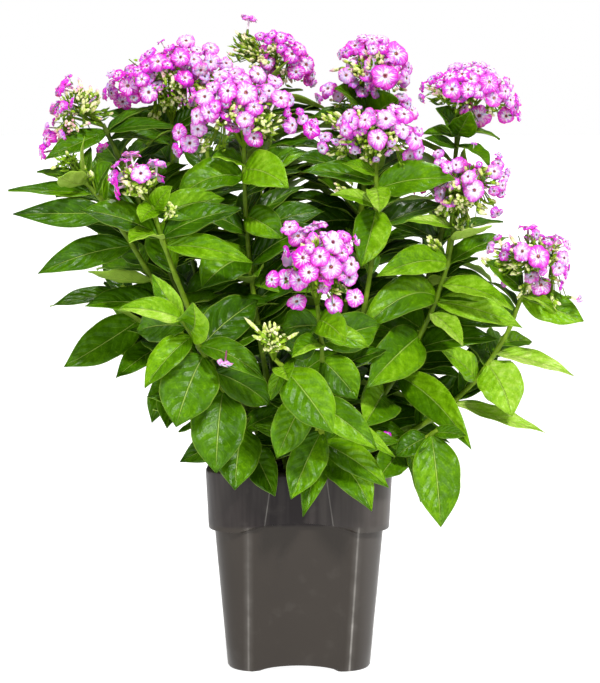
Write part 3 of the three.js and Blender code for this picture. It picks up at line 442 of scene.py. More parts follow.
        (351, 265, 11, 0.35, 0, 0.65), (331, 267, 13, 0, 0, 0.65), (349, 277, 10.5, 0.2, -0.1, 0.6),
        (272, 280, 9.5, -0.35, 0, 0.3), (309, 273, 11, 0, -0.1, 0.3), (299, 280, 11, 0, 0, 0.35),
        (286, 279, 10.5, -0.05, 0, 0.35), (297, 302, 10.5, -0.1, 0.25, 0.4),
        (355, 298, 10.5, 0.4, 0, 0.5),
        (334, 305, 10, 0, 0, 0.35),
    ),
}
# Clusters of buds by head: the middle on the front grid, the spread in squares, how many, how pink
# their tips are, and the share that is still green.
BUDS = {
    "left_high": (
        (89, 99, 14, 40, 0.15, 0.35), (72, 128, 10, 18, 0.8, 0.6), (84, 88, 9, 8, 0.9, 0.3),
        (108, 110, 8, 10, 0.3, 0.8), (95, 122, 7, 8, 0.9, 0.5), (66, 143, 8, 16, 0.8, 0.2),
        (58, 133, 6, 10, 0.8, 0.3),
    ),
    "left_outer": ((66, 160, 12, 18, 0.1, 0.9), (57, 165, 7, 8, 0.0, 0.8), (80, 172, 7, 6, 0.0, 0.9)),
    "left_inner": (
        (141, 193, 9, 18, 0.0, 0.15), (130, 185, 7, 10, 0.2, 0.3), (151, 181, 7, 12, 0.0, 0.4),
        (128, 170, 8, 8, 0.3, 0.6), (174, 209, 6, 12, 0.0, 0.2),
    ),
    "left_back": (
        (171, 93, 20, 56, 0.15, 0.35), (154, 115, 7, 12, 0.0, 0.4), (204, 87, 9, 16, 0.2, 0.4),
        (169, 72, 8, 10, 0.8, 0.4), (187, 104, 10, 14, 0.1, 0.5), (168, 110, 9, 10, 0.1, 0.7),
    ),
    "centre": (
        (230, 116, 6, 8, 0.0, 0.2), (266, 122, 13, 34, 0.1, 0.35), (219, 123, 8, 10, 0.3, 0.5),
        (284, 117, 7, 10, 0.2, 0.4), (203, 147, 6, 10, 0.0, 0.2), (216, 149, 6, 7, 0.0, 0.6),
        (263, 104, 7, 8, 0.9, 0.3), (272, 136, 8, 8, 0.1, 0.6), (238, 105, 6, 8, 0.2, 0.5),
    ),
    "centre_back": (
        (245, 45, 15, 50, 0.2, 0.65), (256, 62, 9, 24, 0.0, 0.2), (233, 52, 7, 12, 0.6, 0.7),
        (268, 48, 8, 14, 0.2, 0.3), (282, 76, 9, 18, 0.1, 0.8), (243, 34, 8, 12, 0.4, 0.7),
        (285, 84, 8, 8, 0.6, 0.6),
    ),
    "right_back": (
        (358, 68, 9, 24, 0.1, 0.3), (379, 57, 8, 16, 0.2, 0.5), (349, 105, 10, 18, 0.1, 0.85),
        (366, 56, 7, 10, 0.8, 0.5), (402, 86, 8, 10, 0.6, 0.5), (334, 103, 8, 10, 0.6, 0.7),
    ),
    "right_inner": (
        (330, 115, 8, 18, 0.0, 0.3), (370, 152, 12, 28, 0.1, 0.4), (393, 135, 7, 12, 0.0, 0.4),
        (336, 153, 8, 12, 0.2, 0.5), (396, 148, 7, 10, 0.6, 0.5), (360, 138, 7, 10, 0.1, 0.6),
        (374, 163, 7, 8, 0.3, 0.3), (407, 148, 6, 8, 0.3, 0.6), (408, 168, 7, 8, 0.0, 0.7),
    ),
    "right_high": (
        (437, 97, 10, 20, 0.3, 0.9), (434, 88, 8, 10, 0.8, 0.5), (494, 109, 8, 12, 0.2, 0.4),
        (450, 106, 10, 16, 0.1, 0.95), (472, 102, 9, 10, 0.2, 0.7), (444, 96, 5, 6, 0.0, 0.1),
    ),
    "right": (
        (460, 203, 14, 52, 0.05, 0.15), (441, 212, 8, 20, 0.0, 0.15), (466, 227, 9, 20, 0.0, 0.2),
        (484, 172, 9, 14, 0.2, 0.8), (456, 186, 8, 10, 0.1, 0.4), (443, 202, 4, 4, 0.6, 0.1),
        (492, 203, 6, 8, 0.3, 0.8), (485, 210, 6, 8, 0.2, 0.4), (468, 165, 7, 8, 0.2, 0.7),
    ),
    "right_outer": (
        (513, 268, 9, 22, 0.1, 0.4), (524, 290, 9, 26, 0.0, 0.15), (533, 267, 7, 10, 0.0, 0.4),
        (556, 257, 7, 16, 0.0, 0.8), (557, 303, 6, 12, 0.0, 0.7), (531, 241, 7, 10, 0.1, 0.9),
        (512, 251, 6, 8, 0.5, 0.6), (555, 280, 6, 8, 0.3, 0.6), (499, 271, 7, 8, 0.4, 0.8),
        (499, 261, 8, 14, 0.3, 0.8), (489, 258, 6, 8, 0.3, 0.7),
    ),
    "front_high": (
        (308, 242, 7, 12, 0.2, 0.6), (342, 291, 7, 12, 0.5, 0.4), (318, 236, 5, 7, 0.3, 0.6),
        (314, 291, 8, 8, 0.1, 0.9), (330, 288, 6, 6, 0.1, 0.6), (292, 263, 4, 5, 0.1, 0.4),
    ),
    "front_low": ((270, 342, 16, 64, 0.0, 0.5), (272, 328, 10, 20, 0.0, 0.1)),
}
# Long buds about to open: where they leave their head, their tip, and how pink they are.
TUBES = {
    "left_high": (((84, 94), (78, 77), 1.0), ((92, 96), (90, 85), 0.9), ((98, 97), (97, 88), 0.8)),
    "left_inner": (((136, 195), (121, 193), 0.0), ((136, 184), (121, 181), 0.6)),
    "left_back": (((166, 84), (162, 70), 0.7), ((174, 86), (172, 74), 0.5)),
    "centre": (((268, 122), (272, 112), 0.1), ((266, 128), (261, 120), 0.0)),
    "right_back": (((345, 68), (329, 71), 1.0), ((352, 64), (342, 60), 0.8)),
    "right_inner": (((350, 142), (337, 142), 0.7), ((360, 122), (358, 106), 0.2)),
    "right": (((492, 182), (503, 186), 0.8), ((484, 180), (478, 166), 0.9)),
    "right_outer": (((519, 249), (509, 234), 1.0), ((504, 250), (497, 236), 0.7),
                    ((566, 297), (582, 299), 0.6), ((500, 254), (488, 247), 0.4)),
    "front_low": (((266, 338), (244, 317), 0.1), ((282, 342), (299, 332), 0.1),
                  ((278, 344), (291, 351), 0.1), ((266, 342), (252, 335), 0.0)),
}
# Small sprays of buds on side shoots: the height on the stem, the middle of the spray and its depth
# on the front grid, its spread in squares, how many buds, and how pink they are.
SPRAYS = {
    "right_inner": ((205, (341, 188, -66), 8, 14, 0.3),),
    "right": ((262, (433, 241, -44), 7, 14, 0.1),),
    "left_inner": ((228, (172, 210, -100), 6, 12, 0.0),),
    "left_outer": ((196, (88, 168, -78), 6, 8, 0.0),),
}
# Florets that have dropped: the place on the front grid, the way each faces, its radius in mm and
# how pale it is.
FALLEN = (
    ("fallen_floret_left", (225, 364, -150), (-0.1, -0.45, -0.9), 8, 1.5),
    ("fallen_floret_right", (386, 436, -80), (0.2, -0.9, 0.4), 5.5, 0.0),
)

# Leaves that give the plant its outline, stem by stem: the height of the base, the tip and its
# depth on the front grid, the width in mm, how much the leaf arches, how far its upper side turns to
# the front (1) or to the back (-1), and how light a green it is.
LEAVES = {
    "left_high": (
        (131, 45, 159, -70, 24, 0.02, 0.6, 0.39),
        (133, 178, 128, -48, 18, 0.12, 0.3, 0.3),
        (139, 170, 145, -20, 22, 0.15, 0.3, 0.32),
        (126, 152, 107, 0, 18, 0.1, 0.2, 0.27),
    ),
    "left_outer": (
        (194, 8, 190, -62, 20, 0.02, 0.3, 0.44),
        (180, 58, 176, -112, 24, -0.12, -0.5, 0.61),
        (183, 83, 136, -62, 12, 0.05, 0.4, 0.68),
        (181, 37, 172, -40, 16, 0.1, 0.2, 0.36),
        (194, 112, 163, -92, 26, 0.1, 0.5, 0.4),
        (213, 13, 214, -75, 27, 0, 0.8, 0.28),
        (246, 37, 274, -80, 30, 0.1, 0.7, 0.35),
        (281, 88, 271, -88, 19, -0.08, -0.5, 0.4),
    ),
    "left_shoot": (
        (296, 50, 307, -12, 21, 0.1, 0.5, 0.35),
        (317, 64, 367, -12, 38, -0.03, 0.8, 0.38),
        (345, 116, 378, -35, 27, 0.05, 0.7, 0.33),
        (368, 152, 423, 5, 26, 0.1, 0.8, 0.37),
        (379, 167, 428, -30, 34, 0.1, 0.8, 0.33),
    ),
    "left_front": (
        (336, 145, 388, -152, 28, 0.12, 0.5, 0.54),
        (355, 176, 427, -142, 52, 0.1, 0.9, 0.44),
        (390, 216, 473, -130, 50, 0.08, 0.9, 0.37),
        (430, 180, 462, -84, 28, 0.02, 0.8, 0.26),
        (428, 235, 490, -112, 42, 0.1, 0.9, 0.38),
        (319, 120, 308, -152, 24, 0.12, 0.5, 0.76),
        (318, 152, 274, -122, 20, -0.1, 0.7, 0.58),
        (332, 193, 303, -168, 32, -0.2, 0.8, 0.62),
        (327, 137, 331, -100, 32, 0.15, 0.7, 0.4),
        (346, 265, 380, -138, 26, 0.25, 0.3, 0.4),
        (348, 258, 300, -78, 38, 0.1, 0.8, 0.28),
        (372, 270, 405, -86, 34, 0.12, 0.7, 0.36),
        (449, 275, 496, -110, 30, 0.1, 0.9, 0.35),
    ),
    "left_inner": (
        (216, 225, 199, -76, 28, 0.1, 0.8, 0.51),
        (240, 129, 243, -138, 26, 0.2, 0.4, 0.72),
        (246, 253, 263, -112, 24, 0.15, 0.5, 0.59),
        (207, 141, 222, -126, 20, 0.1, 0.8, 0.67),
        (206, 172, 186, -120, 18, 0.05, 0.8, 0.67),
    ),
    "centre": (
        (178, 177, 200, -78, 34, 0.3, 0.5, 0.43),
        (171, 289, 188, -98, 36, 0.25, 0.6, 0.63),
        (216, 283, 238, -78, 30, 0.15, 0.6, 0.5),
        (257, 202, 288, -88, 42, 0.2, 0.6, 0.4),
        (165, 213, 156, -72, 22, 0.1, 0.4, 0.6),
    ),
    "centre_back": (
        (92, 331, 112, 45, 18, 0.1, 0.1, 0.35),
        (88, 288, 60, 28, 14, 0.1, 0.4, 0.85),
    ),
    "right_back": (
        (109, 335, 88, 8, 30, 0.1, 0.5, 0.4),
        (108, 399, 100, 5, 34, 0.1, 0.8, 0.41),
        (120, 312, 117, 28, 24, 0.1, 0.5, 0.4),
    ),
    "right_inner": (
        (210, 361, 267, -98, 34, 0.12, 0.9, 0.54),
        (190, 455, 179, -68, 34, 0.12, 0.6, 0.46),
        (184, 301, 172, -66, 24, 0.15, 0.3, 0.38),
        (172, 343, 163, -78, 14, 0.05, 0.5, 0.64),
        (188, 379, 213, -96, 22, 0.1, 0.9, 0.75),
        (206, 331, 194, -84, 16, 0.1, 0.4, 0.77),
    ),
    "right_high": (
        (127, 423, 134, -18, 16, 0.1, 0.3, 0.38),
        (147, 424, 138, -26, 14, 0.02, 0.5, 0.4),
        (147, 490, 166, -28, 20, 0.2, 0.4, 0.42),
        (130, 470, 112, -34, 26, 0.05, 0.9, 0.4),
        (128, 500, 139, -14, 14, 0.2, 0.3, 0.42),
    ),
    "right": (
        (228, 405, 221, -62, 14, 0.1, 0.3, 0.8),
        (240, 492, 226, -76, 22, -0.08, 0.3, 0.82),
        (264, 376, 277, -92, 30, 0.2, 0.5, 0.64),
        (297, 358, 334, -84, 36, 0.45, 0.5, 0.51),
        (285, 513, 309, -74, 24, 0.15, 0.5, 0.72),
        (302, 523, 328, -56, 28, 0.1, 0.6, 0.71),
        (313, 463, 346, -80, 22, 0.1, 0.6, 0.83),
        (336, 367, 387, -106, 44, 0.12, 0.9, 0.49),
        (375, 471, 449, -106, 33, 0.14, 0.9, 0.53),
        (392, 364, 426, -104, 42, 0.12, 0.9, 0.54),
        (330, 372, 306, 4, 38, 0.1, 0.7, 0.4),
    ),
    "right_outer": (
        (298, 584, 321, -48, 31, 0.02, 0.7, 0.59),
        (294, 556, 313, -76, 16, 0.1, 0.5, 0.69),
        (353, 574, 375, -52, 23, 0.06, 0.4, 0.88),
        (364, 512, 416, -64, 41, 0.12, 0.9, 0.79),
        (402, 545, 433, -52, 22, 0, 0.4, 0.88),
        (325, 450, 320, -14, 28, 0.1, 0.5, 0.45),
        (345, 532, 342, 12, 20, 0.1, 0.3, 0.55),
        (281, 486, 262, -58, 26, 0.06, 0.5, 0.39),
        (380, 442, 351, -58, 26, 0.1, 0.6, 0.67),
    ),
    "right_low": (
        (434, 441, 527, -116, 43, 0.03, 0.95, 0.53),
        (437, 396, 456, -96, 24, 0.1, 0.4, 0.35),
        (452, 378, 479, -106, 30, 0.1, 0.6, 0.45),
        (433, 466, 436, -100, 14, 0.1, 0.6, 0.41),
        (449, 420, 502, -92, 16, 0.1, 0.1, 0.63),
    ),
    "front_high": (
        (320, 346, 342, -168, 28, 0.15, 0.8, 0.59),
        (332, 369, 347, -122, 20, 0.1, 0.5, 0.64),
        (360, 357, 399, -128, 34, 0.1, 0.7, 0.46),
        (345, 292, 357, -166, 22, 0.2, 0.3, 0.65),
        (345, 380, 325, -88, 36, 0.1, 0.8, 0.43),
    ),
    "front_low": (
        (371, 333, 433, -178, 42, 0.1, 0.9, 0.56),
        (400, 377, 449, -152, 30, 0.12, 0.7, 0.54),
        (412, 395, 457, -136, 20, 0.12, 0.5, 0.69),
        (396, 277, 458, -146, 34, 0.08, 0.9, 0.47),
        (432, 291, 499, -138, 34, 0.08, 0.9, 0.47),
        (443, 389, 488, -128, 28, 0.1, 0.6, 0.49),
        (455, 372, 511, -130, 36, 0.3, 0.8, 0.51),
        (455, 303, 517, -124, 24, 0.3, 0.8, 0.44),
        (366, 288, 380, -176, 20, 0.1, 0.7, 0.61),
        (368, 271, 400, -152, 14, 0.1, 0.2, 0.51),
    ),
}
# Leaves of the same kind, deeper in the plant, that the frame leaves out.
INNER_LEAVES = {
    "right_back": (
        (178, 294, 158, 18, 30, 0.1, 0.5, 0.2),
        (222, 306, 226, 8, 34, 0.1, 0.6, 0.15),
    ),
    "centre_back": (
        (150, 334, 150, 40, 28, 0.1, 0.4, 0.2),
        (186, 322, 170, 32, 24, 0.1, 0.4, 0.25),
        (236, 342, 240, 4, 36, 0.1, 0.6, 0.15),
        (140, 214, 144, 30, 26, 0.1, 0.4, 0.2),
    ),
    "front_high": (
        (326, 283, 330, -92, 32, 0.1, 0.8, 0.3),
        (338, 288, 352, -100, 30, 0.1, 0.8, 0.25),
    ),
    "left_back": (
        (140, 104, 112, -12, 26, 0.1, 0.6, 0.3),
        (128, 202, 112, -10, 24, 0.1, 0.5, 0.25),
        (142, 126, 158, 25, 28, 0.1, 0.5, 0.22),
        (132, 148, 106, 25, 26, 0.1, 0.5, 0.22),
    ),
    "right_high": (
        (128, 436, 108, -20, 22, 0.1, 0.6, 0.35),
    ),
}
# The bends that a leaf may have taken to clear its neighbours, in the order that the frame tries: a
# placed leaf's shifts in depth and in arch, and a pair leaf's turn, rise and size.
DEPTH_SHIFTS = (0, -9, 9, -18, 18, -28, 28, -40, 40)
ARCH_SHIFTS = (0, 0.12, -0.12)
PAIR_BENDS = (
    (0, 0, 1), (14, 0, 1), (-14, 0, 1), (0, 16, 1), (0, -16, 1), (24, 12, 0.95), (-24, 12, 0.95),
    (24, -12, 0.95), (-24, -12, 0.95), (0, 32, 0.9), (0, -32, 0.9), (40, 0, 0.85), (-40, 0, 0.85),
    (20, 30, 0.75), (-20, 30, 0.75), (20, -30, 0.75), (-20, -30, 0.75), (0, 0, 0.6),
)
# The foliage as it is seen on the front grid: no leaf of a pair reaches out of this outline.
FOLIAGE_EDGE = (
    (14, 214), (8, 188), (40, 166), (96, 126), (150, 105), (176, 122), (212, 150), (262, 100),
    (288, 60), (330, 108), (400, 98), (420, 128), (470, 110), (502, 138), (500, 190), (520, 260),
    (584, 321), (540, 345), (524, 365), (514, 392), (528, 426), (486, 428), (470, 449), (440, 527),
    (398, 478), (372, 511), (303, 517), (216, 473), (180, 462), (172, 430), (152, 418), (116, 378),
    (64, 367), (78, 325), (52, 307), (76, 284), (37, 274), (70, 240),
)
# The dense part of the foliage, that the small inner leaves fill.
DENSE_EDGE = (
    (95, 132), (150, 112), (176, 126), (212, 152), (262, 110), (290, 75), (325, 112), (400, 105),
    (418, 130), (440, 140), (430, 170), (440, 200), (445, 250), (478, 256), (512, 298), (514, 328),
    (500, 346), (478, 364), (468, 396), (446, 425), (415, 440), (398, 470), (372, 500), (303, 505),
    (240, 480), (205, 455), (192, 430), (168, 415), (150, 388), (120, 372), (94, 352), (106, 322),
    (102, 290), (94, 262), (94, 240), (78, 225), (62, 205), (72, 185), (82, 160),
)

# ---------------------------------------------------------------- colours and light

# Greens by how light a leaf, its underside or a stem is, and browns by how light a bit of soil is.
LEAF_GREENS = (
    (0.0, (0.010, 0.036, 0.0002)),
    (0.3, (0.036, 0.112, 0.0005)),
    (0.5, (0.075, 0.200, 0.0006)),
    (0.66, (0.155, 0.345, 0.002)),
    (0.82, (0.290, 0.520, 0.030)),
    (1.0, (0.500, 0.640, 0.150)),
)
UNDER_GREENS = (
    (0.0, (0.085, 0.165, 0.008)),
    (0.5, (0.200, 0.330, 0.026)),
    (1.0, (0.420, 0.580, 0.110)),
)
STEM_GREENS = (
    (0.0, (0.045, 0.080, 0.002)),
    (0.5, (0.135, 0.235, 0.006)),
    (1.0, (0.400, 0.540, 0.050)),
)
SOIL_BROWNS = (
    (0.25, (0.004, 0.003, 0.002)),
    (0.55, (0.026, 0.015, 0.009)),
    (0.85, (0.090, 0.055, 0.032)),
)
VEIN_GREEN = (0.200, 0.420, 0.012)
MIDRIB_GREEN = (0.400, 0.580, 0.100)
MARGIN_GREEN = (0.400, 0.560, 0.070)
PETAL_MAGENTA = (0.740, 0.022, 0.600)
PETAL_PINK = (0.880, 0.170, 0.800)
PETAL_LILAC = (0.880, 0.380, 0.860)
PETAL_WHITE = (0.970, 0.880, 0.930)
PETAL_BLUSH = (0.920, 0.660, 0.910)
# The deep magenta of the petal edges, partly their own colour and partly painted shade where petals
# overlap.
PETAL_EDGE_AND_SHADE = (0.500, 0.015, 0.430)
PETAL_CRIMSON = (0.330, 0.010, 0.090)
BACK_WHITE = (0.920, 0.760, 0.910)
BACK_LILAC = (0.840, 0.400, 0.820)
TUBE_ROSE = (0.190, 0.040, 0.080)
TUBE_WHITE = (0.930, 0.840, 0.880)
EYE_CRIMSON = (0.160, 0.004, 0.030)
EYE_GOLD = (0.760, 0.480, 0.160)
BUD_GREEN = (0.440, 0.600, 0.045)
BUD_CREAM = (0.980, 0.970, 0.560)
BUD_PINK = (0.880, 0.340, 0.660)
CALYX_DARK = (0.045, 0.120, 0.003)
CALYX_LIGHT = (0.300, 0.500, 0.015)
CALYX_RED = (0.260, 0.060, 0.050)
POT_DARK = (0.028, 0.0225, 0.018)
POT_LIGHT = (0.038, 0.031, 0.025)
# The rim's band in painted shade and dark reflection, and in painted light.
POT_RIM_SHADE = (0.007, 0.0035, 0.004)
POT_RIM_LIT = (0.084, 0.073, 0.066)
# Painted light on the right-hand corner of the pot's body.
POT_LIT_POST = (0.080, 0.072, 0.066)
POT_DUST = (0.110, 0.100, 0.090)
# Painted highlight along the edges of the body's panels and of the band's tab.
POT_HIGHLIGHT = (0.420, 0.400, 0.370)
PETAL_GLOW = {"Subsurface_Weight": 0.5, "Subsurface_Scale": 0.0012}

# Lamps: the way each shines, its strength and how many degrees of sky it takes up.
LAMPS = {
    "key": ((-0.32, 0.75, -0.8), 2.95, 7),
    "fill": ((0.65, 0.75, -0.15), 1.2, 30),
    "top": ((-0.1, -0.25, -1), 1.9, 10),
}
AMBIENT = 0.28
SKY_GLOW = 0.9
SKY_MIRROR_LOSS = 0.6
# The bright panels at the sides: the direction's X, half the width and how bright each is.
PANELS = ((0.84, 0.035, 9), (-0.86, 0.025, 4))
FLOOR_HALF = 6
FLOOR_GLOW = 0.97

# ---------------------------------------------------------------- small helpers


def make_draw(seed):
    """Repeatable draws between 0 and 1."""
    state = seed

    def draw():
        nonlocal state
        state = (state * 1664525 + 1013904223) % 2**32
        return state / 2**32

    return draw


def pick(span, draw):
    """A draw between the two ends of a span."""
    return span[0] + (span[1] - span[0]) * draw()


def loose_way(draw):
    """A short step any way, up to half a unit along each axis."""
    return Vector((draw() - 0.5, draw() - 0.5, draw() - 0.5))


def grid_point(right, down, depth):
    """The point of a place on the front grid."""
    across = (right - GRID_RIGHT) * GRID / EYE_REACH
    over = (GRID_DOWN - down) * GRID / EYE_REACH
    away = (EYE_BACK + over * EYE_RISE) / EYE_REACH
    ray = Vector((across, away, (over * EYE_BACK - EYE_RISE) / EYE_REACH))
    return Vector((0, -EYE_BACK, EYE_HEIGHT)) + ray * ((depth + EYE_BACK) / ray.y)


def grid_place(point):
    """Where on the front grid a point is seen: squares to the right and squares down."""
    back = point.y + EYE_BACK
    up = point.z - EYE_HEIGHT
    away = (back * EYE_BACK - up * EYE_RISE) / EYE_REACH
    over = (back * EYE_RISE + up * EYE_BACK) / EYE_REACH
    return GRID_RIGHT + point.x / away * EYE_REACH / GRID, GRID_DOWN - over / away * EYE_REACH / GRID


def seen_inside(right, down, outline):
    """Whether a place lies in an outline: a ray to the right crosses it an odd number of times."""
    crossings = 0
    for (x0, y0), (x1, y1) in zip(outline, outline[1:] + outline[:1]):
        if (y0 > down) != (y1 > down) and right < x0 + (down - y0) / (y1 - y0) * (x1 - x0):
            crossings += 1
    return crossings % 2 == 1


def bezier(start, middle, end, t):
    return start * (1 - t) ** 2 + middle * (2 * t * (1 - t)) + end * t**2


def bezier_way(start, middle, end, t):
    return ((middle - start) * (1 - t) + (end - middle) * t).normalized()


def blend(low, high, share):
    return low + (high - low) * share


def smooth_step(low, high, value):
    t = min(max((value - low) / (high - low), 0), 1)
    return t * t * (3 - 2 * t)


def side_of(along):
    """The way square to a direction that lies nearest to +X, or to +Y along X."""
    near = Vector((0, 1, 0)) if abs(along.x) > 0.99 else Vector((1, 0, 0))
    return (near - along * near.dot(along)).normalized()


def turned_to(facing, spin):
    """The turn that brings Z to a direction, after a spin about Z."""
    side = side_of(facing)
    other = facing.cross(side).normalized()
    return Matrix((side, other, facing)).transposed() @ Matrix.Rotation(spin, 3, "Z")


def even_ways(count, lowest):
    """Ways spread evenly over a dome's top and sides."""
    golden = math.pi * (3 - math.sqrt(5))
    for i in range(count):
        z = 1 - (i + 0.5) / count * (1 - lowest)
        flat = math.sqrt(1 - z * z)
        yield Vector((flat * math.cos(i * golden), flat * math.sin(i * golden), z))


def search_tree(points):
    tree = KDTree(len(points))
    for i, point in enumerate(points):
        tree.insert(point, i)
    tree.balance()
    return tree


# ---------------------------------------------------------------- blocks that pieces are shaped from


def kinds_of(parts, kind):
    return [part for part in parts if isinstance(part, kind)]


def block_mesh(bm, name):
    mesh = bpy.data.meshes.new(name)
    bm.to_mesh(mesh)
    bm.free()
    return mesh


def sheet_block(across, along):
    """A thin flat sheet, -1 to 1 across and 0 to 1 along, 1 thick about 0. Its upper side has the
    first material of its piece, and its underside the second."""
    bm = bmesh.new()
    bmesh.ops.create_grid(bm, x_segments=across, y_segments=along, size=1)
    uv = bm.loops.layers.uv.new("UVMap")
    for vert in bm.verts:
        vert.co.y = (vert.co.y + 1) / 2
        vert.co.z = 0.5
    for face in bm.faces:
        for loop in face.loops:
            loop[uv].uv = ((loop.vert.co.x + 1) / 2, loop.vert.co.y)
    top = bm.faces[:] + bm.edges[:] + bm.verts[:]
    bottom = bmesh.ops.duplicate(bm, geom=top)["geom"]
    for vert in kinds_of(bottom, bmesh.types.BMVert):
        vert.co.z = -0.5
    for face in kinds_of(bottom, bmesh.types.BMFace):
        face.material_index = 1
        face.normal_flip()
    rims = [edge for edge in bm.edges if edge.is_boundary]
    bmesh.ops.bridge_loops(bm, edges=rims)
    bmesh.ops.recalc_face_normals(bm, faces=bm.faces)
    return block_mesh(bm, "sheet")


def rod_block(sides, steps):
    """A closed round rod about the Z axis, radius 1, from z = 0 to 1."""
    bm = bmesh.new()
    bmesh.ops.create_circle(bm, segments=sides, radius=1, cap_ends=True)
    uv = bm.loops.layers.uv.new("UVMap")
    face = bm.faces[:][0]
    for step in range(steps):
        raised = bmesh.ops.extrude_face_region(bm, geom=[face])["geom"]
        verts = kinds_of(raised, bmesh.types.BMVert)
        bmesh.ops.translate(bm, verts=verts, vec=(0, 0, 1 / steps))
        if step > 0:
            bmesh.ops.delete(bm, geom=[face], context="FACES_ONLY")
        face = kinds_of(raised, bmesh.types.BMFace)[0]
    bmesh.ops.recalc_face_normals(bm, faces=bm.faces)
    for side in bm.faces:
        for loop in side.loops:
            loop[uv].uv = (0.5, loop.vert.co.z)
    return block_mesh(bm, "rod")


LEAF_SHEET = sheet_block(6, 16)
PETAL_SHEET = sheet_block(4, 4)
STEM_ROD = rod_block(10, 48)
BUD_ROD = rod_block(6, 5)
TUBE_ROD = rod_block(6, 3)
TWIG_ROD = rod_block(5, 2)
EYE_DISC = rod_block(6, 1)
DRILL = rod_block(24, 1)


def rod_along(start, end, girth):
    """The shape of a rod that runs straight from one point to another. girth gives its radius at
    each share of its length."""
    along = (end - start).normalized()
    side = side_of(along)
    other = along.cross(side)

    def shape(point):
        return start.lerp(end, point.z) + (side * point.x + other * point.y) * girth(point.z)

    return shape


def add_object(name, data):
    thing = bpy.data.objects.new(name, data)
    bpy.context.scene.collection.objects.link(thing)
    return thing


def add_piece(bm, name, materials, nodes=()):
    """Turns a mesh in mm into a piece of the plant in metres, which replaces nodes of the frame."""
    bmesh.ops.scale(bm, vec=(MM, MM, MM), verts=bm.verts)
    mesh = block_mesh(bm, name)
    for material in materials:
        mesh.materials.append(material)
    piece = add_object(name, mesh)
    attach(piece, "root")
    if nodes:
        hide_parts(*nodes)
    return piece


class Body:
    """The mesh of a piece, in mm: copies of blocks, each shaped as it is added."""

    def __init__(self):
        self.bm = bmesh.new()
        self.bm.loops.layers.uv.new("UVMap")
        self.tone = self.bm.verts.layers.float.new("tone")
        self.shade = self.bm.verts.layers.float.new("shade")

    def add(self, block, shape, tone=0.5, shade=0.5, material=None):
        """Adds a block with each point moved by shape, and marks it with its tone and shade."""
        old_verts = len(self.bm.verts)
        old_faces = len(self.bm.faces)
        self.bm.from_mesh(block)
        self.bm.verts.ensure_lookup_table()
        self.bm.faces.ensure_lookup_table()
        for vert in self.bm.verts[old_verts:]:
            vert.co = shape(vert.co)
            vert[self.tone] = tone
            vert[self.shade] = shade
        for face in self.bm.faces[old_faces:]:
            face.smooth = True
            if material is not None:
                face.material_index = material


# ---------------------------------------------------------------- materials


class Value:
    """A number on a material's wires. Sums and products of values add their own nodes."""

    def __init__(self, paint, socket):
        self.paint = paint
        self.socket = socket

    def math(self, operation, *others):
        return self.paint.node("ShaderNodeMath", {"operation": operation}, self, *others)

    def __add__(self, other):
        return self.math("ADD", other)

    def __radd__(self, other):
        return self.math("ADD", other)

    def __sub__(self, other):
        return self.math("SUBTRACT", other)

    def __rsub__(self, other):
        return self.paint.node("ShaderNodeMath", {"operation": "SUBTRACT"}, other, self)

    def __mul__(self, other):
        return self.math("MULTIPLY", other)

    def __abs__(self):
        return self.math("ABSOLUTE")

    def fraction(self):
        return self.math("FRACT")

    def ramp(self, low, high):
        """0 below low, 1 above high, and smooth between them; the other way round if low > high."""
        if low > high:
            return 1 - self.ramp(high, low)
        settings = {"interpolation_type": "SMOOTHSTEP"}
        return self.paint.node("ShaderNodeMapRange", settings, self, low, high, 0, 1)


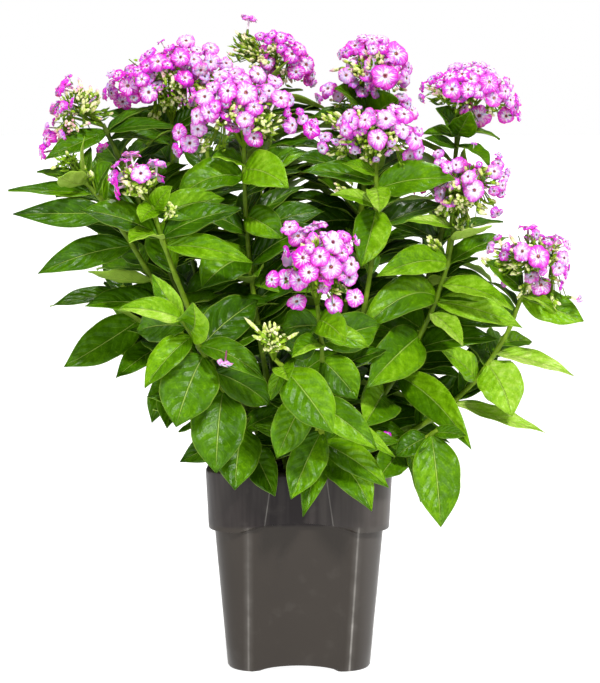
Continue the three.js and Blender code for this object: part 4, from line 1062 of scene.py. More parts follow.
class Paint:
    """A material, or the world, being wired up."""

    def __init__(self, owner):
        self.owner = owner
        owner.use_nodes = True
        self.tree = owner.node_tree
        self.tree.nodes.clear()

    def node(self, kind, settings, *inputs, output=0, **named):
        """A node of a kind, with its settings and then the values or links of its sockets."""
        node = self.tree.nodes.new(kind)
        for key, value in settings.items():
            if key == "stops":
                self.set_stops(node.color_ramp, value)
            else:
                setattr(node, key, value)
        places = list(enumerate(inputs))
        places += [(key.replace("_", " "), value) for key, value in named.items()]
        for place, value in places:
            socket = node.inputs[place]
            if isinstance(value, Value):
                self.tree.links.new(value.socket, socket)
            elif value is not None:
                socket.default_value = value
        return Value(self, node.outputs[output]) if node.outputs else None

    @staticmethod
    def set_stops(ramp, stops):
        while len(ramp.elements) < len(stops):
            ramp.elements.new(0.5)
        for element, (place, colour) in zip(ramp.elements, stops):
            element.position = place
            element.color = (*colour, 1)

    def mix(self, factor, first, second):
        """A colour between two colours."""
        colours = [end if isinstance(end, Value) else (*end, 1) for end in (first, second)]
        inputs = (factor, *[None] * 5, *colours)
        return self.node("ShaderNodeMix", {"data_type": "RGBA"}, *inputs, output=2)

    def shades(self, stops, tone):
        """The colour of a tone, out of a row of colours that each have their own tone."""
        return self.node("ShaderNodeValToRGB", {"stops": stops}, tone)

    def attribute(self, name):
        return self.node("ShaderNodeAttribute", {"attribute_name": name}, output=2)

    def uv(self):
        """The place across and along the piece's own map, from 0 to 1."""
        both = self.node("ShaderNodeUVMap", {"uv_map": "UVMap"})
        across = self.node("ShaderNodeSeparateXYZ", {}, both, output=0)
        along = self.node("ShaderNodeSeparateXYZ", {}, both, output=1)
        return across, along

    def place(self):
        return self.node("ShaderNodeTexCoord", {}, output=3)

    def axes(self):
        """The place along X, Y and Z in metres."""
        return [self.node("ShaderNodeSeparateXYZ", {}, self.place(), output=i) for i in range(3)]

    def noise(self, scale, detail=3, where=None):
        """Soft noise of about 0 to 1, with a number of lumps to the metre."""
        where = where or self.place()
        return self.node("ShaderNodeTexNoise", {}, Vector=where, Scale=scale, Detail=detail)

    def bump(self, height, strength, distance=0.001):
        return self.node("ShaderNodeBump", {}, Strength=strength, Distance=distance, Height=height)

    def surface(self, colour, roughness, normal=None, specular=0.5, **constants):
        """Closes the material with its shader, and returns it."""
        shader = self.node(
            "ShaderNodeBsdfPrincipled", {}, Base_Color=colour, Roughness=roughness, Normal=normal,
            Specular_IOR_Level=specular, **constants,
        )
        self.node("ShaderNodeOutputMaterial", {}, Surface=shader)
        return self.owner


def material_paint(name):
    return Paint(bpy.data.materials.new(name))


def leaf_pattern(paint):
    """The distance from the midrib, the midrib, the side veins, the thin margin of a blade, and how
    far a place is from the next side vein."""
    across, along = paint.uv()
    side = abs(across * 2 - 1)
    midrib = side.ramp(0.05, 0.012) * along.ramp(1.0, 0.8)
    sway = (paint.noise(28, 2) - 0.5) * 1.6
    comb = (along * 6.5 + sway - side * 1.3 - side * side * 0.9).fraction()
    swell = abs(comb * 2 - 1)
    veins = (1 - swell).ramp(0.84, 1.0) * side.ramp(0.92, 0.4) * (1 - midrib)
    margin = side.ramp(0.94, 1.0)
    return side, midrib, veins, margin, swell


def leaf_top_paint():
    paint = material_paint("leaf_top")
    side, midrib, veins, margin, swell = leaf_pattern(paint)
    blotch = paint.noise(38, 2)
    mottle = paint.noise(150, 5)
    grain = paint.noise(560, 3)
    half = paint.uv()[0].ramp(0.48, 0.52) * 2 - 1
    tone = paint.attribute("tone") + (blotch - 0.5) * 0.36 + (mottle - 0.5) * 0.34
    # One half of each blade is painted a little lighter and the other darker, by a random amount:
    # painted light and shade on the two folded halves.
    tone = tone + (grain - 0.5) * 0.3 + half * (paint.attribute("shade") - 0.5) * 0.24
    # Painted shade in the grooves along the side veins and painted light on the swells between them.
    tone = tone + (swell - 0.45) * side.ramp(1.0, 0.5) * mottle.ramp(0.35, 0.6) * 0.1
    green = paint.shades(LEAF_GREENS, tone)
    green = paint.mix(veins * mottle.ramp(0.35, 0.6) * 0.33, green, VEIN_GREEN)
    green = paint.mix(midrib * 0.6, green, MIDRIB_GREEN)
    green = paint.mix(margin * 0.35, green, MARGIN_GREEN)
    height = mottle * 0.6 + swell * side.ramp(1.0, 0.6) * 0.38 - midrib * 0.8 + blotch * 1.8
    normal = paint.bump(height + grain * 0.1, 1.0, 0.0016)
    roughness = 0.25 + mottle * 0.12
    return paint.surface(green, roughness, normal, specular=0.16)


def leaf_under_paint():
    paint = material_paint("leaf_underside")
    side, midrib, veins, margin, swell = leaf_pattern(paint)
    mottle = paint.noise(130, 6)
    tone = paint.attribute("tone") * 0.8 + (mottle - 0.5) * 0.8 + 0.08
    green = paint.shades(UNDER_GREENS, tone)
    green = paint.mix((midrib + veins * 0.5 + margin * 0.5) * 0.7, green, MARGIN_GREEN)
    normal = paint.bump(veins * 0.5 + midrib + mottle * 0.6, 0.8)
    return paint.surface(green, 0.6 + side * 0.05, normal, specular=0.2)


def stem_paint():
    paint = material_paint("stem_green")
    lines = paint.noise(120, 5)
    tone = paint.attribute("tone") + (lines - 0.5) * 0.9
    green = paint.shades(STEM_GREENS, tone)
    normal = paint.bump(paint.noise(300, 2), 0.25)
    return paint.surface(green, 0.45 + lines * 0.1, normal, specular=0.2)


def petal_top_paint():
    paint = material_paint("petal_top")
    across, along = paint.uv()
    side = abs(across * 2 - 1)
    shade = paint.attribute("shade")
    paleness = paint.attribute("tone")
    fan = paint.node("ShaderNodeCombineXYZ", {}, across * 12, along * 1.6, shade * 40)
    streaks = paint.noise(1, 4, where=fan).ramp(0.3, 0.7)
    reach = along + side * 0.25 + (streaks - 0.5) * 0.85 + (0.4 - paleness) * 0.4
    flush = reach.ramp(0.2, 0.8)
    magenta = paint.mix(shade * 0.7, PETAL_MAGENTA, PETAL_PINK)
    rim = paint.mix((paleness * 1.6 - 0.1).ramp(0, 1), magenta, PETAL_LILAC)
    edge = (along + side * 0.35 + (streaks - 0.5) * 0.5).ramp(0.7, 1.15)
    rim = paint.mix(edge * (0.95 - paleness * 0.45), rim, PETAL_MAGENTA)
    heart = paint.mix((paleness * 0.9).ramp(0, 1), PETAL_WHITE, PETAL_BLUSH)
    colour = paint.mix(flush, heart, rim)
    fleck = paint.noise(420, 3).ramp(0.52, 0.72) * along.ramp(0.2, 0.6)
    colour = paint.mix(fleck * 0.4, colour, PETAL_MAGENTA)
    # The dark lines at the petal edges: partly the petals' own deep magenta and partly painted shade
    # where the petals overlap.
    hem_and_shade = side.ramp(0.86, 1.0).math("MAXIMUM", along.ramp(0.9, 1.0)) * along.ramp(0.25, 0.6)
    colour = paint.mix(hem_and_shade * 0.55, colour, PETAL_EDGE_AND_SHADE)
    colour = paint.mix((along + side * 0.05).ramp(0.17, 0.07) * 0.85, colour, PETAL_CRIMSON)
    normal = paint.bump(streaks * 0.8 + (1 - side) * 0.3, 0.6)
    return paint.surface(colour, 0.6 + streaks * 0.1, normal, specular=0.08, **PETAL_GLOW)


def petal_back_paint():
    paint = material_paint("petal_back")
    along = paint.uv()[1]
    veins = paint.noise(240, 2)
    depth = along.ramp(0.2, 1.0) * (1.0 - paint.attribute("tone") * 0.6) + (veins - 0.3) * 0.3
    colour = paint.mix(depth, BACK_WHITE, BACK_LILAC)
    normal = paint.bump(veins, 0.15)
    return paint.surface(colour, 0.6 + veins * 0.1, normal, specular=0.1, **PETAL_GLOW)


def tube_paint():
    paint = material_paint("floret_tube")
    along = paint.uv()[1]
    tone = paint.attribute("shade")
    shaft = paint.mix(tone.ramp(0.1, 0.6), TUBE_ROSE, TUBE_WHITE)
    colour = paint.mix(along.ramp(0.6, 1.0) + paint.noise(150) * 0.2, shaft, BACK_LILAC)
    return paint.surface(colour, 0.55 + along * 0.05, specular=0.15)


def eye_paint():
    paint = material_paint("floret_eye")
    grain = paint.noise(900, 2)
    colour = paint.mix(grain.ramp(0.52, 0.66), EYE_CRIMSON, EYE_GOLD)
    return paint.surface(colour, 0.5 + grain * 0.2, specular=0.2)


def bud_paint():
    paint = material_paint("bud_cream")
    along = paint.uv()[1]
    tone = paint.attribute("tone")
    cream = paint.mix(paint.noise(180).ramp(0.35, 0.65), BUD_GREEN, BUD_CREAM)
    colour = paint.mix(along.ramp(0.45, 1.0) * tone, cream, BUD_PINK)
    colour = paint.mix(along.ramp(0.25, 0.0) * 0.7, colour, BUD_GREEN)
    return paint.surface(colour, 0.5 + along * 0.05, specular=0.2)


def calyx_paint():
    paint = material_paint("calyx_green")
    along = paint.uv()[1]
    tone = paint.attribute("tone")
    green = paint.mix(paint.noise(160).ramp(0.35, 0.65), CALYX_DARK, CALYX_LIGHT)
    colour = paint.mix(along.ramp(0.6, 1.0) * tone * 0.8, green, CALYX_RED)
    return paint.surface(colour, 0.5 + along * 0.05, specular=0.2)


def pot_paint():
    paint = material_paint("pot_plastic")
    x, y, z = paint.axes()
    cloud = paint.noise(14, 4)
    grain = paint.noise(1400, 2)
    scuff = paint.noise(60, 6).ramp(0.56, 0.72)
    aside = abs(x).math("MINIMUM", abs(y))
    on_band = z.ramp(0.137, 0.141)
    right = x.ramp(-0.02, 0.02)
    # crease and tab mark painted highlights: thin light lines along the panels' edges, stronger on the
    # right-hand side and low down, and along the edges of the band's tab, broken up by noise.
    beside = abs(aside - z * right * 0.058 - 0.0462)
    crease = beside.ramp(0.0015, 0.0) * (0.08 + right * 0.3 + z.ramp(0.1, 0.02) * 0.25)
    crease = (crease + beside.ramp(0.006, 0.0) * 0.12) * (1 - on_band)
    tab = abs(aside + z * 0.14 - 0.0507).ramp(0.0008, 0.0002) * on_band
    painted_highlight = (crease + tab * 0.35) * (paint.noise(60, 4) * 1.4 - 0.1)
    # The rim's band is painted with light and shade: dark to the left and in the middle, lighter to the
    # right and at the left edge, with upright streaks of painted reflection.
    stripes = paint.node("ShaderNodeCombineXYZ", {}, x * 70, y * 70, z * 4)
    streak = paint.noise(1, 3, where=stripes) - 0.5
    band_light = x.ramp(0.01, 0.085) + x.ramp(-0.035, -0.055) * 0.2 + streak * 1.4
    band = paint.mix(band_light, POT_RIM_SHADE, POT_RIM_LIT)
    colour = paint.mix(cloud, POT_DARK, POT_LIGHT)
    # Painted light on the body's right-hand corner.
    colour = paint.mix(x.ramp(0.046, 0.07) * 0.7, colour, POT_LIT_POST)
    colour = paint.mix(on_band, colour, band)
    colour = paint.mix(scuff * 0.10, colour, POT_DUST)
    colour = paint.mix(painted_highlight, colour, POT_HIGHLIGHT)
    roughness = 0.3 + cloud * 0.06 + scuff * 0.10
    normal = paint.bump(grain * 0.3 + cloud * 0.6 + crease * 0.5 + tab * 0.5, 0.08)
    return paint.surface(colour, roughness, normal, specular=0.25)


def soil_paint():
    paint = material_paint("bark_compost")
    lumps = paint.noise(160, 6)
    fibres = paint.noise(700, 3)
    tone = lumps * 0.7 + fibres * 0.3 + (paint.attribute("tone") - 0.5) * 0.5
    colour = paint.shades(SOIL_BROWNS, tone)
    normal = paint.bump(lumps + fibres * 0.5, 0.9, 0.002)
    return paint.surface(colour, 0.9 - lumps * 0.1, normal, specular=0.2)


# ---------------------------------------------------------------- stems


class Stem:
    """A stem's way up: straight out of the soil, then one smooth bow through its halfway place."""

    def __init__(self, root, mid, top):
        self.start = Vector((root[0], root[1], SOIL_TOP + STEM_COLLAR))
        self.end = grid_point(*top)
        self.middle = grid_point(*mid) * 2 - self.start * 0.5 - self.end * 0.5
        steps = [self.point(i / LENGTH_STEPS) for i in range(LENGTH_STEPS + 1)]
        self.length = sum((b - a).length for a, b in zip(steps, steps[1:]))

    def point(self, t):
        return bezier(self.start, self.middle, self.end, t)

    def axis(self, share):
        """A point on the line that joins the stem's few levels, where leaves are set."""
        step = min(math.floor(share * STEM_STEPS), STEM_STEPS - 1)
        low = self.point(step / STEM_STEPS)
        high = self.point((step + 1) / STEM_STEPS)
        return low.lerp(high, share * STEM_STEPS - step)

    def share_at(self, down):
        """Where on the stem a given height of the front grid is reached."""
        low, high = 0, 1
        for _ in range(HEIGHT_HALVINGS):
            middle = (low + high) / 2
            if grid_place(self.axis(middle))[1] > down:
                low = middle
            else:
                high = middle
        return low

    def shape(self, joints):
        """The shape of a rod that follows the stem, a little swollen at its leaf joints."""

        def shape(point):
            t = point.z
            if t < ROOT_SHARE:
                foot = self.start - UP * ROOT_DEPTH
                centre = foot.lerp(self.start, t / ROOT_SHARE)
                along = UP
                way = 0
            else:
                way = (t - ROOT_SHARE) / (1 - ROOT_SHARE)
                centre = self.axis(way).lerp(self.point(way), 0.5)
                along = bezier_way(self.start, self.middle, self.end, way)
            swells = [math.exp(-(((way - joint) / JOINT_SHARE) ** 2)) for joint in joints]
            radius = blend(STEM_RADIUS, STEM_TOP_RADIUS, way) * (1 + JOINT_SWELL * sum(swells))
            side = side_of(along)
            return centre + (side * point.x + along.cross(side) * point.y) * radius

        return shape


# ---------------------------------------------------------------- leaves


def blade_width(share):
    """Half width of a blade at a share of its length, 1 at its widest."""
    return math.sin(math.pi * share**BLADE_SKEW) ** BLADE_FULLNESS


class Leaf:
    """A leaf from its base in the stem to its tip: folded up along its midrib, with waved edges."""

    def __init__(self, base, tip, width, arch, turn, wave):
        chord = tip - base
        self.length = chord.length
        outward = Vector((base.x + tip.x, base.y + tip.y, 0)).normalized()
        bow = UP + outward * LEAF_OUTWARD_BOW
        bow = (bow - chord * (bow.dot(chord) / self.length**2)).normalized()
        self.face = bow * (1 - abs(turn)) + FRONT * turn
        self.base = base
        self.tip = tip
        self.middle = base + chord * LEAF_CREST + bow * (arch * self.length)
        self.width = width
        self.wave = wave
        self.stations = LARGE_LEAF_STATIONS if width > LARGE_LEAF_WIDTH else LEAF_STATIONS

    def frame(self, share):
        along = bezier_way(self.base, self.middle, self.tip, share)
        right = along.cross(self.face).normalized()
        return right, right.cross(along)

    def spot(self, across, share):
        """A point of the blade."""
        right, up = self.frame(share)
        half = self.width / 2 * blade_width(share)
        centre = bezier(self.base, self.middle, self.tip, share)
        return centre + right * (half * across) + up * (half * LEAF_FOLD * 2 * abs(across))

    def marks(self):
        """Two corners that the plain leaf of the frame has: its tip and a point of one edge."""
        share = self.stations[0]
        right, up = self.frame(share)
        half = self.width / 2 * blade_width(share)
        lift = half * LEAF_FOLD * 2 + self.length * LEAF_WAVE * self.wave
        edge = bezier(self.base, self.middle, self.tip, share) + right * half + up * lift
        return self.tip, edge

    def shape(self, draw):
        """The shape of a fine sheet that follows the leaf."""
        first, second = self.stations
        blunt = smooth_step(*BLUNT_LEAVES, self.width / self.length)
        ripples = pick(RIPPLES, draw)
        starts = (draw() * TURN, draw() * TURN)
        ripple = self.width * pick(RIPPLE_DEPTHS, draw)
        curl = self.length * pick(TIP_CURLS, draw)

        def shape(point):
            across, share, layer = point
            right, up = self.frame(share)
            outer = max(share - BLUNT_FROM, 0) / (1 - BLUNT_FROM)
            plump = blade_width(share) + blunt * BLUNT_SWELL * math.sin(math.pi * outer)
            half = max(self.width / 2 * plump * (1 - LEAF_TAPER * share**5), LEAF_LEAST_HALF)
            lift = half * LEAF_FOLD * KEEL_LIFT * abs(across) ** KEEL_BEND
            sway = math.cos(math.pi * (share - first) / (second - first))
            lift += self.length * LEAF_WAVE * self.wave * sway * across
            start = starts[0] if across > 0 else starts[1]
            lift += ripple * across**2 * math.sin(TURN * share * ripples + start)
            lift -= curl * CURL_BEND * max(share - CURL_FROM, 0) ** 2
            midrib = 1 - min(abs(across) / MIDRIB_HALF, 1)
            lift += LEAF_THICK * layer * (1 + MIDRIB_THICKER * midrib)
            centre = bezier(self.base, self.middle, self.tip, share)
            return centre + right * (half * across) + up * lift

        return shape


def placed_bends(stem, row, wave):
    down, right, low, depth, width, arch, turn = row
    base = stem.axis(min(stem.share_at(down), LAST_LEAF))
    for more in ARCH_SHIFTS:
        for shift in DEPTH_SHIFTS:
            yield Leaf(base, grid_point(right, low, depth + shift), width, arch + more, turn, wave)


def pair_leaf(base, yaw, pitch, reach, wave):
    flat = reach * math.cos(pitch)
    way = Vector((flat * math.cos(yaw), flat * math.sin(yaw), reach * math.sin(pitch)))
    turn = PAIR_TURN if math.sin(yaw) < PAIR_TURNED else 0
    return Leaf(base, base + way, reach * PAIR_WIDTH, PAIR_ARCH, turn, wave)


def pair_bends(base, heading, slope, length, wave):
    for turned, raised, size in PAIR_BENDS:
        yaw = heading + math.radians(turned)
        leaf = pair_leaf(base, yaw, slope + math.radians(raised), length * size, wave)
        if seen_inside(*grid_place(leaf.tip), FOLIAGE_EDGE):
            yield leaf


def pairs_of(stem, front_row, draw):
    """The opposite pairs that fill a stem, each pair square to the one below it. Stems in the front
    row leave out those that point forwards."""
    leaves = []
    for i in range(math.floor((stem.length - PAIR_START) / PAIR_STEP)):
        share = (PAIR_START + i * PAIR_STEP) / stem.length
        base = stem.axis(share)
        twist = draw() * PAIR_TWIST + i * TURN / 4
        for side in (0, 1):
            heading = twist + side * TURN / 2
            slope = (PAIR_TOP_RISE - PAIR_DROOP * (1 - share)) * pick(PAIR_RISES, draw)
            size = PAIR_LENGTH * (1 - PAIR_TAPER * share**3) * pick(PAIR_SIZES, draw)
            wave = draw() - 0.5
            if not front_row or -math.sin(heading) < PAIR_FRONT:
                leaves.append((base, heading, slope, size, wave))
    return leaves


class Corners:
    """The corners of a frame node, to find which of its bends a leaf took."""

    def __init__(self, node):
        self.tree = search_tree([vert.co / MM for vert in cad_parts[node].data.vertices])

    def miss(self, leaf):
        return sum(self.tree.find(mark)[2] for mark in leaf.marks())

    def found(self, bends):
        """The bend that the node holds, or nothing."""
        best = min(bends, key=self.miss, default=None)
        return best if best and self.miss(best) < MATCH else None


class Crowd:
    """The leaves that are in place: the squares of the front grid that they are seen on, and points
    all over them, to find room for more."""

    def __init__(self):
        self.bare = set()
        self.nearest = {}
        for i in range(IMAGE_WIDTH // CELL):
            for k in range(IMAGE_HEIGHT // CELL):
                place = ((i + 0.5) * CELL, (k + 0.5) * CELL)
                if seen_inside(*place, DENSE_EDGE):
                    self.bare.add((i, k))
                for head in heads.values():
                    if head.covers(*place):
                        near = head.centre.y - head.radii.y
                        self.nearest[i, k] = min(near, self.nearest.get((i, k), near))
        self.points = []
        self.tree = None

    def samples(self, leaf):
        return [leaf.spot(across, share) for share in SAMPLES_ALONG for across in SAMPLES_ACROSS]

    def squares(self, leaf):
        """The squares that a leaf is seen on, and how near it comes on each."""
        cells = {}
        for point in self.samples(leaf):
            right, down = grid_place(point)
            cell = (int(right // CELL), int(down // CELL))
            cells[cell] = min(point.y, cells.get(cell, point.y))
        return cells

    def gain(self, leaf):
        """The bare squares that a leaf would fill, less a cost for those where it hides something."""
        cells = self.squares(leaf)
        fresh = sum(cell in self.bare for cell in cells)
        hidden = sum(y < self.nearest.get(cell, y) - HIDING_DEPTH for cell, y in cells.items())
        return fresh - HIDING_COST * hidden

    def take(self, leaf):
        for cell, y in self.squares(leaf).items():
            self.bare.discard(cell)
            self.nearest[cell] = min(y, self.nearest.get(cell, y))
        self.points += self.samples(leaf)

    def settle(self):
        """Makes the search tree of all the points taken so far."""
        self.tree = search_tree(self.points)

    def has_room(self, leaf):
        """Whether the leaf's outer part stays clear of the other leaves and of the heads."""
        outer = self.samples(leaf)[INNER_SAMPLES:]
        touching = sum(self.tree.find(point)[2] < FILLER_APART for point in outer)
        in_head = any(head.holds(point) for head in heads.values() for point in outer)
        return touching <= FILLER_TOUCHING and not in_head


def filler(stem, share, front_row, crowd, draw):
    """The leaf at a height of a stem, out of a few tries, that is seen on the most bare squares."""
    best, most = None, FILLER_GAIN
    for _ in range(FILLER_TRIES):
        yaw = draw() * TURN
        pitch = pick(FILLER_PITCHES, draw) + FILLER_TOP_RISE * share
        reach = PAIR_LENGTH * pick(FILLER_SIZES, draw) * (1 - PAIR_TAPER * share**3)
        leaf = pair_leaf(stem.axis(share), yaw, pitch, reach, draw() - 0.5)
        behind = -math.sin(yaw) < (PAIR_FRONT if front_row else FILLER_FRONT)
        if behind and seen_inside(*grid_place(leaf.tip), DENSE_EDGE):
            gain = crowd.gain(leaf)
            if gain > most and crowd.has_room(leaf):
                best, most = leaf, gain
    return best


# ---------------------------------------------------------------- flower heads

# The materials of a head, in the order of its material numbers.
PETAL, BACK, TUBE, EYE, BUD, CALYX, BRANCH = range(7)


def petal_shape(angle, cup, droop, size, cut):
    """One broad petal of a floret of radius 1, its end rounded, faintly notched and cut aslant."""
    turn = Matrix.Rotation(angle, 3, "Z")

    def shape(point):
        across, out, layer = point
        grown = math.sin(min(out / PETAL_WIDEST, 1) * math.pi / 2) ** 1.15
        wide = PETAL_NECK + PETAL_BREADTH * grown
        wide *= 1 - 0.5 * max(out - PETAL_WIDEST, 0) ** 1.5
        end = PETAL_LENGTH * size - PETAL_ROUND * abs(across) ** 2.2 + cut * across
        end -= PETAL_NOTCH * math.exp(-(((across - cut * 2) / NOTCH_HALF) ** 2))
        height = PETAL_LEAN * across * out + cup * math.sin(math.pi * out) - droop * out**2
        height += PETAL_THICK * layer + PETAL_WAVE * math.sin(across * 5 + angle) * out**2
        return turn @ Vector((PETAL_FOOT + out * end, across * wide, height))

    return shape


def floret_block(draw, dropped=False):
    """A floret of radius 1 facing +Z: five petals, the eye, the tube and, unless it has dropped, its
    calyx."""
    body = Body()
    for k in range(PETALS):
        angle = k * TURN / PETALS + PETAL_TURN * (draw() - 0.5)
        cup = pick(PETAL_CUPS, draw)
        droop = pick(PETAL_DROOPS, draw)
        size = pick(PETAL_SIZES, draw)
        cut = PETAL_CUT * (draw() - 0.5)
        body.add(PETAL_SHEET, petal_shape(angle, cup, droop, size, cut))
    reach = FLORET_TUBE / FLORET_RADIUS

    def tube(point):
        girth = TUBE_GIRTH + TUBE_SWELL * math.sin(math.pi * point.z)
        return Vector((point.x * girth, point.y * girth, (point.z - 1) * reach - 0.01))

    def calyx(point):
        girth = CALYX_GIRTH + CALYX_SWELL * math.sin(math.pi * min(point.z * 1.1, 1)) ** 0.7
        return Vector((point.x * girth, point.y * girth, -reach * (1.22 - 0.5 * point.z)))

    def eye(point):
        return Vector((point.x * EYE_HALF, point.y * EYE_HALF, point.z * EYE_THICK - EYE_SUNK))

    body.add(TUBE_ROD, tube, material=TUBE)
    if not dropped:
        body.add(TUBE_ROD, calyx, material=CALYX)
    body.add(EYE_DISC, eye, material=EYE)
    return block_mesh(body.bm, "floret")


def add_bud(body, base, tip, radius, pinkness, draw):
    """A club of rolled petals that stands out of its pointed calyx."""

    def club(share):
        return radius * (0.4 + 0.6 * math.sin(math.pi * share**1.7)) * (1 - 0.85 * share**9)

    def calyx(share):
        return radius * (0.45 + 0.6 * math.sin(math.pi * min(share * 0.9, 1)))

    foot, rim = [base + (tip - base) * share for share in CALYX_SPAN]
    body.add(BUD_ROD, rod_along(base, tip, club), tone=pinkness, material=BUD)
    body.add(TWIG_ROD, rod_along(foot, rim, calyx), tone=0.3 + draw() * 0.7, material=CALYX)


def add_green_bud(body, base, tip, radius, draw):
    """A young bud, all calyx, drawn out to a point."""

    def spindle(share):
        girth = 0.35 + 0.75 * math.sin(math.pi * min(share * 1.25, 1)) * (1 - 0.4 * share)
        return radius * 0.8 * girth * (1 - 0.9 * share**4)

    body.add(TUBE_ROD, rod_along(base, tip, spindle), tone=draw() * 0.5, material=CALYX)


class Head:
    """A domed head on its stem's top, with its branches, florets and buds."""

    def __init__(self, name, at, half):
        self.name = name
        self.stem = stems[name]
        self.centre = grid_point(*at)
        self.radii = Vector((half[0] * GRID, half[2], half[1] * GRID))
        self.at = at
        self.half = half
        self.top = self.stem.end
        self.body = Body()
        self.spots = []
        ways = even_ways(FORK_COUNT, LOWEST_FORK)
        self.forks = [self.centre + self.scaled(way) * FORK_REACH for way in ways]

    def scaled(self, way):
        return Vector((way.x * self.radii.x, way.y * self.radii.y, way.z * self.radii.z))

    def holds(self, point):
        """Whether a point lies in the dome."""
        outs = [a / b for a, b in zip(point - self.centre, self.radii)]
        return Vector(outs).length < DOME_MARGIN

    def covers(self, right, down):
        """Whether the dome is seen at a place on the front grid."""
        outs = [(a - b) / c for a, b, c in zip((right, down), self.at, self.half)]
        return math.hypot(*outs) < DOME_EDGE

    def spot_at(self, right, down):
        """The point of the dome that is seen at a place on the front grid."""
        x = (right - self.at[0]) / self.half[0]
        z = (self.at[1] - down) / self.half[1]
        near = math.sqrt(max(DOME_RIM, 1 - x * x - z * z)) * self.radii.y
        return grid_point(right, down, self.centre.y - near)

    def normal(self, way):
        return Vector([a / b for a, b in zip(way, self.radii)]).normalized()

    def gap(self, spot):
        return min(((spot - other).length for other in self.spots), default=1000)

    def add_twig(self, start, end, radii, tone):
        shape = rod_along(start, end, lambda share: blend(*radii, share))
        self.body.add(TWIG_ROD, shape, tone=tone, material=BRANCH)

    def add_stalk(self, end, radius):
        """The stalk of one floret or bud, from the nearest fork of the branches."""
        fork = min(self.forks, key=lambda place: (place - end).length)
        self.add_twig(fork, end, (radius, radius * STALK_TAPER), STALK_TONE)

    def add_branches(self):
        base = self.top - UP * BRANCH_FOOT
        for fork in self.forks:
            self.add_twig(base, fork, BRANCH_RADII, BRANCH_TONE)

    def add_floret(self, spot, facing, radius, paleness, draw):
        facing = facing + loose_way(draw) * FACE_LOOSE
        facing.normalize()
        turn = turned_to(facing, draw() * TURN)
        block = FLORETS[math.floor(draw() * len(FLORETS))]
        self.body.add(block, lambda point: spot + turn @ (point * radius), paleness, draw())
        self.add_stalk(spot - facing * FLORET_TUBE * STALK_BELOW_TUBE, STALK_RADIUS)
        self.spots.append(spot)

    def add_florets(self, open_dome, draw):
        rows = FLORET_ROWS.get(self.name, ())
        for i, (right, down, radius, lean_right, lean_up, paleness) in enumerate(rows):
            forward = i % FLORET_LAYERS * FLORET_STAGGER
            spot = self.spot_at(right, down) + TO_EYE * forward
            lean = math.hypot(lean_right, lean_up)
            aside = Vector((lean_right, 0, lean_up)) * (1 / max(lean, 0.01))
            angle = lean * TURN / 4
            facing = TO_EYE * math.cos(angle) + aside * math.sin(angle)
            self.add_floret(spot, facing, radius * GRID, paleness, draw)
        self.add_between(BETWEEN_TRIES.get(self.name, 0), draw)
        if open_dome or rows:
            for way in even_ways(FILL_COUNT, LOWEST_FLORET):
                spot = self.centre + self.scaled(way)
                hidden = open_dome or (way.y > FILL_REAR and self.covers(*grid_place(spot)))
                if hidden and self.gap(spot) > LOOSE_SPACING:
                    facing = self.normal(way) + UP * (OPEN_LIFT if open_dome else HIDDEN_LIFT)
                    self.add_floret(spot, facing, FLORET_RADIUS, pick(LOOSE_PALENESS, draw), draw)

    def among_buds(self, right, down):
        """Whether a place on the front grid is taken by a cluster of buds."""
        for x, y, spread, *_ in BUDS.get(self.name, ()):
            if math.hypot(right - x, down - y) < spread * CLUSTER_CORE:
                return True
        return False

    def add_between(self, tries, draw):
        """Florets that show a little between the ones in front, turned all ways."""
        for _ in range(tries):
            turn = draw() * TURN
            out = BETWEEN_REACH * math.sqrt(draw())
            right = self.at[0] + self.half[0] * out * math.cos(turn)
            down = self.at[1] - self.half[1] * out * math.sin(turn)
            spot = self.centre.lerp(self.spot_at(right, down), BETWEEN_DEPTH)
            aside = Vector((draw() - 0.5, 0, max(draw() - 0.4, -0.1)))
            facing = TO_EYE * 0.5 + aside * 2
            if self.gap(spot) > BETWEEN_SPACING and not self.among_buds(right, down):
                radius = pick(BETWEEN_SIZES, draw)
                paleness = pick(BETWEEN_PALENESS, draw)
                self.add_floret(spot, facing.normalized(), radius, paleness, draw)

    def add_cluster(self, right, down, spread, count, pinkness, green, draw):
        for _ in range(count):
            turn = draw() * TURN
            out = spread * math.sqrt(draw())
            drop = out * math.sin(turn) * CLUSTER_HEIGHT
            spot = self.spot_at(right + out * math.cos(turn), down + drop)
            tip = self.centre.lerp(spot, pick(BUD_REACHES, draw))
            heading = (tip - self.centre).normalized() + UP * BUD_RISE + loose_way(draw) * BUD_LOOSE
            base = tip - heading.normalized() * pick(BUD_LENGTHS, draw)
            self.add_stalked_bud(base, tip, pick(BUD_RADII, draw), pinkness, green, draw)

    def add_stalked_bud(self, base, tip, radius, pinkness, green, draw):
        if draw() < green:
            add_green_bud(self.body, base, tip, radius, draw)
        else:
            pink = min(max(pinkness + (draw() - 0.5) * BUD_PINK_SPAN, 0), 1)
            add_bud(self.body, base, tip, radius, pink, draw)
        self.add_stalk(base, THIN_STALK_RADIUS)

    def add_tube(self, start, end, pinkness, draw):
        """A long bud about to open."""
        base = self.spot_at(*start)
        tip = self.spot_at(*end)
        add_bud(self.body, base, tip, LONG_BUD_RADIUS, pinkness, draw)
        self.add_stalk(base, STALK_RADIUS)

